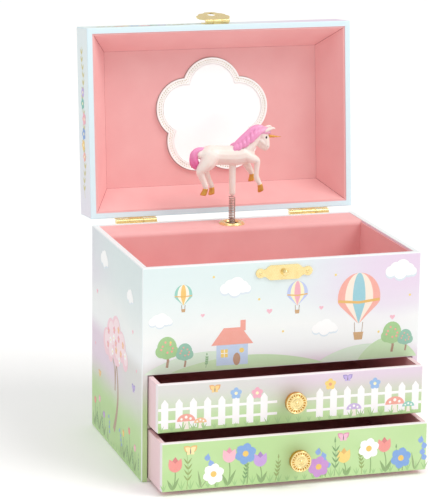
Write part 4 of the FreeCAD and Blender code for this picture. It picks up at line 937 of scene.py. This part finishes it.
def pearl(place, radius):
    rings = []
    for share in (0, 0.4, 0.75, 0.95):
        out = math.sqrt(1 - share ** 2) * radius * MM
        centre = place * MM + UP * (frame_face + (PEARL_SEAT - share * radius) * MM)
        rings.append([open_lid @ p for p in hoop(centre, RIGHT, -BACK, out, 8)])
    return skin(rings)


def pearl_row(radius, size):
    pearls = []
    for centre, middle, sweep in lobes(radius):
        count = max(2, round(2 * sweep * radius / PEARL_SPACING))
        for step in range(count):
            angle = middle - sweep + 2 * sweep * (step + 0.5) / count
            pearls.append(pearl(centre + heading(angle) * radius, size))
    return pearls


pearls = pearl_row(LOBE_RADIUS - BORDER * 0.36, 0.42) + pearl_row(LOBE_RADIUS - BORDER * 0.68, 0.34)
pearl_paint = moulded("pearl_trim", "#E8E2CC", "#C9C2A8", 0.3)
piece("mirror_pearls", "lid", pearl_paint, joined(pearls))
print("pearls:", len(pearls))

# %% Lines on the mirror's border
ARC_STEPS = 40


def lobed_line(radius, height, thickness):
    lines = []
    for centre, middle, sweep in lobes(radius):
        rings = []
        for step in range(ARC_STEPS + 1):
            out = heading(middle - sweep + 2 * sweep * step / ARC_STEPS)
            place = (centre + out * radius) * MM + UP * height
            rings.append([open_lid @ p for p in hoop(place, out, UP, thickness * MM, 6)])
        lines.append(skin(rings))
    return lines


# The outer line is a painted contact shadow where the border meets the lining.
lines = lobed_line(LOBE_RADIUS + 0.1, frame_back - 0.25 * MM, 0.2)
lines += lobed_line(LOBE_RADIUS - BORDER, frame_face, 0.08)
line_and_shadow_finish = moulded("mirror_line", "#A89E95", "#8C8178", 0.5)
piece("mirror_border_lines", "lid", line_and_shadow_finish, joined(lines))
print("mirror lines:", len(lines), "arcs")

# %% [markdown]
# ## Printed motifs
# The print carries small flat motifs in the paper's own colours. A shader could draw each one, but
# outlines are much easier to place, so every motif is a set of filled outlines, a few hundredths
# of a millimetre above the board. The colour of each outline is kept in an attribute that the ink
# finish reads.

# %% Ink
def ink_finish():
    finish = Finish("printed_ink", specular_ior_level=PAPER_GLOSS)
    vector = finish.place()
    colour = finish.node("Attribute", {"attribute_name": "ink"}, {}, "Color")
    dots = finish.cloud(vector, 1700, 2.0)
    patch = finish.cloud(vector, 220, 3.0)
    colour = finish.mix(dots * 0.1 + patch * 0.12, colour, "#FFFFFF")
    finish.paint(base_color=colour, roughness=dots * 0.15 + 0.36)
    finish.bump(dots, 0.00003, 0.3)
    return finish


printed_ink = ink_finish()
print("ink mixed")

# %% A sheet of printed outlines
INK_LIFT, INK_LAYER = 0.02, 0.003


class Print:
    def __init__(self, name, body, place):
        # place(u, v, lift) turns millimetres on the sheet into a point in the frame.
        self.name, self.body, self.place = name, body, place
        self.points, self.faces, self.colours = [], [], []
        self.layers = []

    def ink(self, colour, *outlines):
        # An outline lies one layer above the highest one that its box touches, so that no two
        # lie in one plane.
        for outline in outlines:
            us, vs = [u for u, v in outline], [v for u, v in outline]
            box = (min(us), max(us), min(vs), max(vs))
            below = [level for a, b, c, d, level in self.layers
                     if a < box[1] and b > box[0] and c < box[3] and d > box[2]]
            level = 1 + max(below, default=0)
            self.layers.append(box + (level,))
            first = len(self.points)
            lift = INK_LIFT + INK_LAYER * level
            self.points += [self.place(u, v, lift) for u, v in outline]
            self.faces.append(tuple(range(first, len(self.points))))
            self.colours += [tint(colour)] * len(outline)

    def make(self):
        shape = (self.points, self.faces)
        made = piece(self.name, self.body, printed_ink, shape, flat=True)
        layer = made.data.color_attributes.new("ink", "FLOAT_COLOR", "CORNER")
        layer.data.foreach_set("color", [part for colour in self.colours for part in colour])
        highest = max(row[4] for row in self.layers)
        print(self.name + ":", len(self.faces), "outlines in", highest, "layers")


print("each layer of ink is", INK_LAYER, "mm above the last")

# %% Filled outlines
def spread(u, v, size, *places):
    # Places in a motif's own units, as millimetres on the sheet.
    return [(u + a * size, v + b * size) for a, b in places]


def disc(u, v, radius, tall=1.0, corners=22):
    return [(u + radius * math.cos(a), v + radius * tall * math.sin(a)) for a in turns(corners)]


def block(u0, v0, u1, v1):
    return [(u0, v0), (u1, v0), (u1, v1), (u0, v1)]


def petal(u, v, length, width, degrees, point=0.6, blunt=1.0):
    # A petal or leaf that starts at (u, v) and swells to its width before it closes, roundly if
    # blunt is small.
    cosine, sine = math.cos(math.radians(degrees)), math.sin(math.radians(degrees))
    shares = [s / 9 for s in range(10)]
    swell = [width / 2 * abs(math.sin(math.pi * s ** point)) ** blunt for s in shares]
    edge = [(length * s, half) for s, half in zip(shares, swell)]
    outline = edge + [(x, -y) for x, y in reversed(edge[1:-1])]
    return [(u + x * cosine - y * sine, v + x * sine + y * cosine) for x, y in outline]


print("discs, blocks and petals ready")

# %% Lines and hearts
ARCH_STEPS = 12


def ribbon(points, width, end_width=None):
    end_width = width if end_width is None else end_width
    last = len(points) - 1
    left, right = [], []
    for number, (u, v) in enumerate(points):
        before, after = points[max(number - 1, 0)], points[min(number + 1, last)]
        run = math.hypot(after[0] - before[0], after[1] - before[1]) or 1
        half = (width + (end_width - width) * number / last) / 2
        across = (-(after[1] - before[1]) / run * half, (after[0] - before[0]) / run * half)
        left.append((u + across[0], v + across[1]))
        right.append((u - across[0], v - across[1]))
    return left + right[::-1]


def arch(u0, v0, u1, v1, bulge):
    # A bent line between two places, which ribbons and stems follow.
    run = []
    for step in range(ARCH_STEPS + 1):
        t = step / ARCH_STEPS
        swell = bulge * math.sin(math.pi * t)
        run.append((u0 + (u1 - u0) * t + swell * (v1 - v0) / 20,
                    v0 + (v1 - v0) * t + swell * (u0 - u1) / 20))
    return run


def heart(u, v, size):
    outline = []
    for t in turns(24):
        high = 13 * math.cos(t) - 5 * math.cos(2 * t) - 2 * math.cos(3 * t)
        outline.append((u + size * 0.06 * 16 * math.sin(t) ** 3, v + size * 0.06 * high))
    return outline


print("lines and hearts ready, a stem has", ARCH_STEPS, "steps")

# %% [markdown]
# A printer keeps a few inks and uses them everywhere, so the colours that come back get a name. A
# motif is a function that inks its outlines on a sheet at a given place and size, from the back to
# the front.

# %% Inks
CORAL, SALMON, ROSE, BLUSH = "#F4A596", "#F29C8B", "#F29CB0", "#F3B6C6"
PEACH, IVORY, BUTTER = "#FBE9D8", "#FFF6E6", "#FFF4C4"
GOLD, AMBER = "#F7D46A", "#F5C64F"
MINT, TEAL = "#8CCFC0", "#8FC9D6"
MIST_BLUE, CORNFLOWER, BELL_BLUE = "#B9C6F0", "#8FB8E8", "#7FA6E6"
LILAC = "#C79BE0"
STEM, LEAF, BLADE = "#7FA65C", "#7FAF74", "#A3CE83"
YELLOW_WINGS, LILAC_WINGS = ("#F7CF7B", "#E8A25E"), ("#BFA8E3", "#8F7CC8")
PINK_WINGS = ("#F4B9D2", "#E282AC")
TULIPS = (("#F28C84", "#D96A6A"), ("#F7B7C8", "#E88BA6"), (LILAC, "#A377C7"), (GOLD, "#E8B44A"))
print("inks mixed,", len(TULIPS), "pairs for tulips")

# %% Clouds, balloons and trees
PUFF = [(-1.3, 0, 0.7), (-0.6, 0.35, 0.85), (0.3, 0.5, 1.0), (1.1, 0.15, 0.8), (0, -0.15, 0.9),
        (1.7, -0.1, 0.5)]


def puff(sheet, u, v, size):
    for colour, drop in (("#DCE8F1", 0.25), ("#FEFFFF", 0)):
        for a, b, radius in PUFF:
            sheet.ink(colour, disc(u + a * size, v + b * size - drop * size, radius * size))


def gore(u, v, size, share):
    # A tall oval that narrows below towards the basket.
    outline = []
    for a in turns(40):
        neck = 1 if math.sin(a) > -0.2 else 0.25 + 0.75 * (1 + math.sin(a)) / 0.8
        outline.append((u + size * share * math.cos(a) * neck, v + size * 1.15 * math.sin(a)))
    return outline


def balloon(sheet, u, v, size, colours):
    for colour, share in zip(colours, (1.0, 0.66, 0.3)):
        sheet.ink(colour, gore(u, v, size, share))
    band = spread(u, v, size, (-0.97, -0.1), (0, -0.2), (0.97, -0.1))
    sheet.ink("#E7B24A", ribbon(band, size * 0.12))
    for side in (-1, 1):
        rope = spread(u, v, size, (side * 0.2, -1.1), (side * 0.16, -1.6))
        sheet.ink("#9C7A5B", ribbon(rope, 0.35))
    basket = spread(u, v, size, (-0.24, -1.55), (0.24, -1.55), (0.18, -1.9), (-0.18, -1.9))
    sheet.ink("#C99A5E", basket)


def round_tree(sheet, u, v, size, leaf, berry):
    trunk = spread(u, v, size, (0, 0), (0.1, 0.6), (0, 1.2))
    sheet.ink("#A98467", ribbon(trunk, 0.22 * size))
    sheet.ink(leaf, disc(u, v + 1.7 * size, 0.85 * size, 1.15))
    for side in (-1, 1):
        sheet.ink(leaf, disc(u + side * 0.45 * size, v + 1.4 * size, 0.55 * size))
    for k in range(7):
        rise = 0.6 * size * math.sin(2.4 * k) * (0.4 + 0.09 * k)
        berry_at = (u + 0.5 * size * math.cos(2.4 * k), v + 1.65 * size + rise)
        sheet.ink(berry, disc(*berry_at, 0.1 * size, 1, 10))


print("a cloud has", 2 * len(PUFF), "discs")

# %% Flowers
def tulip(sheet, u, v, tall, lean, colour, deep, size=1.0):
    stem = arch(u, v, u + lean, v + tall, 1.2)
    leaves = [petal(u, v, tall * 0.75, 1.9, 62), petal(u, v, tall * 0.65, 1.8, 116)]
    sheet.ink(STEM, ribbon(stem, 0.6), *leaves)
    a, b = stem[-1]
    sheet.ink(deep, petal(a, b - 0.6, 4.6 * size, 2.8 * size, 90, 0.8))
    for degrees in (66, 114):
        sheet.ink(colour, petal(a, b - 0.6, 4.4 * size, 2.3 * size, degrees, 0.8))


def bellflower(sheet, u, v, tall, lean, colour, size=1.0):
    stem = arch(u, v, u + lean, v + tall, 3.0)
    sheet.ink("#8AA867", ribbon(stem, 0.45, 0.25), petal(u, v, tall * 0.55, 1.2, 100))
    for number in (6, 8, 10, 12):
        a, b = stem[number]
        degrees = -100 + 14 * (number % 4)
        sheet.ink(colour, petal(a, b + 0.3, 3.0 * size, 2.2 * size, degrees, 1.5))


def blossom(sheet, u, v, size, colour, heart_colour, petals=5):
    for k in range(petals):
        sheet.ink(colour, petal(u, v, size, size * 0.8, 18 + 360 * k / petals, 1.3, 0.6))
    sheet.ink(heart_colour, disc(u, v, size * 0.27))


print("flowers ready")

# %% Sprigs, wings and grass
def sprig(sheet, u, v, tall, lean, colour):
    stem = arch(u, v, u + lean, v + tall, 0.8)
    sheet.ink(colour, ribbon(stem, 0.35, 0.2), petal(*stem[-1], tall * 0.2, 0.9, 90))
    for a, b in stem[3:11:2]:
        sheet.ink(colour, *[petal(a, b, tall * 0.22, 0.9, degrees) for degrees in (55, 125)])


def flutter(sheet, u, v, size, colours):
    colour, deep = colours
    wings = ((deep, 1.25, 0.95, 38), (colour, 1.0, 0.7, 38), (colour, 0.75, 0.6, -42))
    for shade, long, wide, rise in wings:
        for degrees in (rise, 180 - rise):
            sheet.ink(shade, petal(u, v, size * long, size * wide, degrees, 0.8))
    sheet.ink("#6B5B57", petal(u, v - size * 0.45, size, size * 0.16, 90))


def tufts(sheet, us, v, tall, colour):
    for number, u in enumerate(us):
        length = tall * (0.8 + 0.25 * math.sin(7 * number))
        sheet.ink(colour, *[petal(u, v, length, 0.7, degrees) for degrees in (66, 90, 116)])


print("motifs ready")

# %% [markdown]
# The front shows three balloons over rounded hills, with a little cottage and some trees, and
# clouds above. The drawers carry on downwards: toadstools by a fence on the upper one, and a
# border of tulips and bellflowers on the lower.

# %% Front print
def in_mm(x, y, z):
    return Vector((x * MM, y * MM, z * MM))


def hill(u0, u1, base, rise):
    shares = [s / 24 for s in range(1, 24)]
    slope = [(u0 + (u1 - u0) * s, base + rise * math.sin(math.pi * s) ** 0.8) for s in shares]
    return [(u0, base)] + slope + [(u1, base)]


def cottage(sheet):
    sheet.ink("#BFD3EF", block(-38, 63, -20, 75))
    sheet.ink(SALMON, [(-41, 74.5), (-17, 74.5), (-24, 84), (-34, 84)], block(-24.5, 82, -21.5, 88))
    sheet.ink("#F7D35C", block(-35.5, 67.5, -31.5, 72), disc(-23.6, 71, 1.4))
    sheet.ink("#FDFDFB", ribbon([(-33.5, 67.5), (-33.5, 72)], 0.4),
              ribbon([(-35.5, 69.8), (-31.5, 69.8)], 0.4))
    sheet.ink("#B98B69", disc(-26.4, 66.2, 2.1, 1.7, 20))


front = Print("front_print", "cabinet", lambda u, v, lift: in_mm(u, -HALF_DEPTH - lift, v))
front.ink("#D7EBD6", hill(-79, -6, 60.6, 11), hill(20, 79, 60.6, 9))
front.ink("#C4E3B4", hill(-64, 24, 60.6, 7.5), hill(44, 79, 60.6, 12))
for u, size in ((-66, 6.5), (-56, 5), (64, 6.5), (72, 4.6)):
    crown = "#9CCB84" if size > 5 else "#86BFA6"
    round_tree(front, u, 62.0 + abs(u) * 0.03, size, crown, "#F4A08C")
cottage(front)
sprig(front, -44, 62.5, 7, 0.6, "#7FB27B")
balloon(front, 44, 96, 12.5, (CORAL, PEACH, TEAL))
balloon(front, 8, 101, 6.0, (MIST_BLUE, "#FDF3C8", "#F2A7B8"))
balloon(front, -57, 104, 5.0, (MINT, IVORY, "#F5C45E"))
for u, v, size in ((-28, 106, 4.2), (68, 110, 4.4), (24, 80, 3.6), (-70, 90, 3.2)):
    puff(front, u, v, size)
for u, v, size in ((-8, 92, 1.7), (22, 92, 1.3), (64, 84, 1.6), (-46, 92, 1.2)):
    front.ink(BLUSH, heart(u, v, size))
for u, v in ((-14, 99), (-40, 113), (30, 110), (56, 76), (0, 80), (74, 96), (-64, 78)):
    front.ink("#F6D873", disc(u, v, 0.7, 1, 8))
front.make()

# %% Upper drawer's print
def drawer_sheet(name):
    low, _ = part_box(name + "_drawer_front")
    return Print(name + "_drawer_print", name + "_drawer",
                 lambda u, v, lift: Vector((u * MM, low.y - lift * MM, low.z + v * MM)))


def toadstool(sheet, u, v, size, cap):
    stalk = spread(u, v, size, (-0.32, 0), (0.32, 0), (0.2, 1), (-0.2, 1))
    sheet.ink("#FBF3E6", stalk)
    angles = [math.pi * s / 16 for s in range(17)]
    sheet.ink(cap, spread(u, v, size, *[(math.cos(a), 0.85 + 0.8 * math.sin(a)) for a in angles]))
    for a, b, radius in ((0, 1.3, 0.16), (-0.5, 1.1, 0.13), (0.48, 1.12, 0.14)):
        sheet.ink("#FFFDF8", disc(u + a * size, v + b * size, radius * size))


upper = drawer_sheet("upper")
rails = [ribbon([(a, v), (b, v)], 1.5)
         for v in (6.4, 13.0) for a, b in ((-75.6, -8.5), (8.5, 75.6))]
pales = [[(u - 2, 2.2), (u + 2, 2.2), (u + 2, 16.2), (u, 18.8), (u - 2, 16.2)]
         for u in range(-72, 74, 8) if abs(u) > 9]
upper.ink("#FDFBFC", *rails, *pales)
for u, size, cap in ((-60, 5.2, SALMON), (-52, 3.6, "#F5BF8C"), (36, 4.4, "#C9B2E4"),
                     (60, 5.6, SALMON), (68, 3.6, MINT)):
    toadstool(upper, u, 1.4, size, cap)
for u, colour in ((-32, CORNFLOWER), (-20, "#F3A7BE"), (22, GOLD), (48, CORNFLOWER)):
    heart_colour = "#E99A6B" if colour == GOLD else BUTTER
    blossom(upper, u, 20.5 + 2 * math.sin(u), 3.4, colour, heart_colour)
tufts(upper, range(-74, 76, 6), 0.6, 4.6, BLADE)
flutter(upper, -44, 22.5, 3.2, YELLOW_WINGS)
flutter(upper, 32, 23, 2.8, LILAC_WINGS)
upper.make()

# %% Lower drawer's print
lower = drawer_sheet("lower")
tufts(lower, range(-75, 76, 5), 0.6, 5.5, "#9CC97C")
for number, u in enumerate((-70, -39, -20, 29, 52)):
    tall, lean = 10.5 + 3 * math.sin(1.7 * number), 1.5 * math.cos(number)
    tulip(lower, u, 0.8, tall, lean, *TULIPS[number % 4], 1.9)
for u, tall, lean in ((-54, 19, 4), (17, 17, -4), (69, 19, 4)):
    bellflower(lower, u, 0.8, tall, lean, BELL_BLUE, 1.5)
for number, u in enumerate((-62, -30, -12, 22, 38, 60)):
    tall, lean = 15 + 4 * math.cos(2.1 * number), 2.0 * math.sin(number)
    sprig(lower, u, 0.8, tall, lean, "#6F9E5A" if number % 2 else "#8FA850")
for number, (u, v) in enumerate(((-47, 8), (-29, 18), (13, 7), (42, 15), (61, 8))):
    lower.ink(STEM, ribbon(arch(u + 1, 0.8, u, v, 1.0), 0.6))
    blossom(lower, u, v, 6.2, ("#FFFFFF", "#6F9FE0", "#C98AD6")[number % 3], AMBER, 6)
flutter(lower, -60, 22, 3.8, ("#FCE9A6", "#F0B35C"))
flutter(lower, 27, 22.5, 3.4, PINK_WINGS)
lower.make()

# %% [markdown]
# The sides carry a blossom tree over the same meadow, with a row of flowers at its foot. The back
# is plainer, and the lid has garlands along its sides and its front, and a wreath on its top. One
# function draws a side, and the sheet's own placing turns it onto the left or the right of the
# box.

# %% Side prints
CROWN = [(-16, 48, 8), (-6, 54, 10), (5, 58, 10), (16, 53, 9), (24, 47, 6), (6, 48, 9), (-8, 44, 6)]


def blossom_tree(sheet, u, v):
    trunk = arch(u, v, u + 4, v + 44, 3.0)
    boughs = [arch(u + 2.4, v + 24, u - 14, v + 46, 5), arch(u + 3, v + 28, u + 20, v + 48, -5)]
    sheet.ink("#B08D73", ribbon(trunk, 4.2, 1.4), *[ribbon(bough, 2.0, 0.7) for bough in boughs])
    sheet.ink("#F6CBD6", *[disc(u + a, v + b, r) for a, b, r in CROWN])
    sheet.ink("#FBE0E6", *[disc(u + a + 1, v + b + 1.6, r * 0.7) for a, b, r in CROWN])
    for number in range(14):
        angle, reach = 2.4 * number, 4.6 * math.sqrt(number)
        a, b = 4 + reach * 1.25 * math.cos(angle), 52 + reach * 0.62 * math.sin(angle)
        blossom(sheet, u + a, v + b, 2.3, (ROSE, "#FFFFFF", "#F7B58F")[number % 3], GOLD)


def side_print(name, place):
    sheet = Print(name, "cabinet", place)
    puff(sheet, -26, 106, 4.0)
    puff(sheet, 30, 98, 3.2)
    blossom_tree(sheet, -4, 12)
    for number, u in enumerate((-48, -37, -26, 18, 30, 41)):
        tall, lean = 14 + 4 * math.sin(2 * number), 1.2 * math.cos(number)
        tulip(sheet, u, 2, tall, lean, *TULIPS[number % 4])
    for u in (-43, -31, 24, 36, 48):
        sprig(sheet, u, 2, 11, 0.8, LEAF)
    bellflower(sheet, -18, 2, 16, 3, BELL_BLUE)
    bellflower(sheet, 12, 2, 15, -3, BELL_BLUE)
    tufts(sheet, range(-52, 54, 6), 1.2, 5.0, BLADE)
    for u, v, size in ((-42, 84, 1.7), (36, 80, 1.5), (44, 60, 1.2), (-46, 52, 1.3)):
        sheet.ink(BLUSH, heart(u, v, size))
    flutter(sheet, 38, 48, 3.4, LILAC_WINGS)
    flutter(sheet, -36, 36, 3.0, YELLOW_WINGS)
    sheet.make()


side_print("left_side_print", lambda u, v, lift: in_mm(-HALF_WIDTH - lift, -u, v))
side_print("right_side_print", lambda u, v, lift: in_mm(HALF_WIDTH + lift, u, v))

# %% Back print
back = Print("back_print", "cabinet", lambda u, v, lift: in_mm(-u, HALF_DEPTH + lift, v))
for u, v, size in ((-56, 92, 5), (10, 97, 4), (58, 84, 5), (-14, 80, 3)):
    puff(back, u, v, size)
balloon(back, -36, 74, 9, (MINT, IVORY, CORAL))
balloon(back, 34, 82, 6, ("#F5C9A8", PEACH, MIST_BLUE))
for number, u in enumerate(range(-72, 74, 9)):
    if number % 2:
        tall, lean = 13 + 4 * math.sin(number), 1.2 * math.cos(number)
        tulip(back, u, 2, tall, lean, *TULIPS[number % 4])
    else:
        sprig(back, u, 2, 14, 1.0, LEAF)
tufts(back, range(-76, 78, 5), 1.0, 5.0, BLADE)
flutter(back, 0, 40, 3.6, PINK_WINGS)
back.make()

# %% Garlands on the lid
GARLAND_LINE = 12.4
GARLAND_FLOWERS = ((14, AMBER), (17, "#5F93D8"), (21, ROSE), (25, "#4FB7A6"), (11, CORAL),
                   (28, "#B79BDC"))


def garland(name, u0, u1, place):
    sheet = Print(name, "lid", lambda u, v, lift: open_lid @ in_mm(*place(u, LID_FOOT + v, lift)))
    run = [(u0 + (u1 - u0) * s / 40, GARLAND_LINE + 1.6 * math.sin(s * 0.55)) for s in range(41)]
    sheet.ink("#C9BE6A", ribbon(run, 0.5))
    for u, v in run[2:40:2]:
        sheet.ink("#C9BE6A", *[petal(u, v, 4.4, 1.6, degrees) for degrees in (40, -40)])
    for number, colour in GARLAND_FLOWERS:
        blossom(sheet, *run[number], 4.2 - abs(number - 20) * 0.12, colour, "#FFF1B8")
    sheet.make()


garland("lid_left_print", -44, 44, lambda u, v, lift: (-HALF_WIDTH - lift, -u, v))
garland("lid_right_print", -44, 44, lambda u, v, lift: (HALF_WIDTH + lift, u, v))
garland("lid_front_print", -74, -14, lambda u, v, lift: (u, -HALF_DEPTH - lift, v))

# %% Wreath on the lid
top = Print("lid_top_print", "lid", lambda u, v, lift: open_lid @ in_mm(u, v, LID_TOP + lift))
wreath = [(46 * math.cos(2 * math.pi * s / 60), 32 * math.sin(2 * math.pi * s / 60))
          for s in range(61)]
top.ink("#9CC38A", ribbon(wreath, 0.7))
for step, (u, v) in enumerate(wreath):
    top.ink("#9CC38A", petal(u, v, 6.5, 2.4, 6 * step + (50 if step % 2 else 140)))
for number in range(12):
    colour = (ROSE, CORNFLOWER, GOLD, LILAC)[number % 4]
    blossom(top, *wreath[number * 5], 6.2 if number % 2 else 4.8, colour, BUTTER)
balloon(top, 0, 3, 11, (CORAL, PEACH, TEAL))
for u, v, size in ((-22, 12, 3), (23, 6, 3), (-62, 38, 4), (60, -36, 4)):
    puff(top, u, v, size)
top.make()

# %% [markdown]
# ## Floor, light and camera
# The photograph is taken on white, with a large soft light from the upper right that leaves a pale
# shadow to the left. A bright world gives the even fill, a sun with a wide disc adds the
# direction, and a faint round lamp on the left softens the shade. The camera's place was fitted to
# the corners of the box, and its lens is long, so that the sides stay nearly parallel.

# %% Floor and world
FLOOR_HALF, FLOOR_HEIGHT = 30.0, -0.0002
WORLD_COLOUR, WORLD_STRENGTH = (1.0, 0.995, 0.985, 1.0), 0.665


def floor_finish():
    finish = Finish("pale_floor", roughness=0.9, specular_ior_level=0.1)
    finish.paint(emission_color="#FFFFFF", emission_strength=0.06)
    drift = finish.cloud(finish.place(), 3.0, 2.0)
    finish.paint(base_color=finish.mix(drift * 0.03, "#FFFFFF", "#F3EFEA"))
    return finish


corners = [Vector((x * FLOOR_HALF, y * FLOOR_HALF, FLOOR_HEIGHT)) for x, y in CORNERS]
floor = piece("floor", None, floor_finish(), (corners, [(0, 1, 2, 3)]), flat=True)
world = bpy.data.worlds.new("studio")
bpy.context.scene.world = world
world.use_nodes = True
background = world.node_tree.nodes["Background"]
background.inputs["Color"].default_value = WORLD_COLOUR
background.inputs["Strength"].default_value = WORLD_STRENGTH
bpy.context.scene.view_settings.view_transform = "Standard"
print("floor and world ready")

# %% Lights
AIM = (0, 0, 0.12)


def lamp(name, kind, place, power, colour, **settings):
    light = bpy.data.lights.new(name, kind)
    light.energy = power
    light.color = colour
    for key, value in settings.items():
        setattr(light, key, value)
    made = bpy.data.objects.new(name, light)
    made.location = place
    made.rotation_euler = (Vector(AIM) - Vector(place)).to_track_quat("-Z", "Y").to_euler()
    bpy.context.scene.collection.objects.link(made)


lamp("key_light", "SUN", (1.15, -0.9, 1.75), 1.25, (1.0, 0.98, 0.95), angle=0.6)
lamp("fill_light", "AREA", (-0.8, -0.7, 2.2), 7, (1.0, 0.99, 0.98), shape="DISK", size=1.2)
print("lights ready")

# %% Camera
YAW, PITCH, ROLL = 0.29947, 0.23091, 0.01221
CAMERA_PLACE = (-412.42, -1261.85, 424.96)
FOCUS_IN_PIXELS, PHOTO_HEIGHT, SENSOR = 2409.61, 500, 36
ahead = Vector((math.sin(YAW) * math.cos(PITCH), math.cos(YAW) * math.cos(PITCH), -math.sin(PITCH)))
right = Vector((math.cos(YAW), -math.sin(YAW), 0))
up = right.cross(ahead)
leaned_right = right * math.cos(ROLL) + up * math.sin(ROLL)
leaned_up = up * math.cos(ROLL) - right * math.sin(ROLL)
lens = bpy.data.cameras.new("camera")
lens.lens = FOCUS_IN_PIXELS * SENSOR / PHOTO_HEIGHT
lens.sensor_width = SENSOR
lens.clip_end = 100
camera = bpy.data.objects.new("camera", lens)
turn = Matrix((leaned_right, leaned_up, -ahead)).transposed().to_4x4()
camera.matrix_world = Matrix.Translation(Vector(CAMERA_PLACE) * MM) @ turn
bpy.context.scene.collection.objects.link(camera)
bpy.context.scene.camera = camera
print("camera", round(lens.lens, 1), "mm")
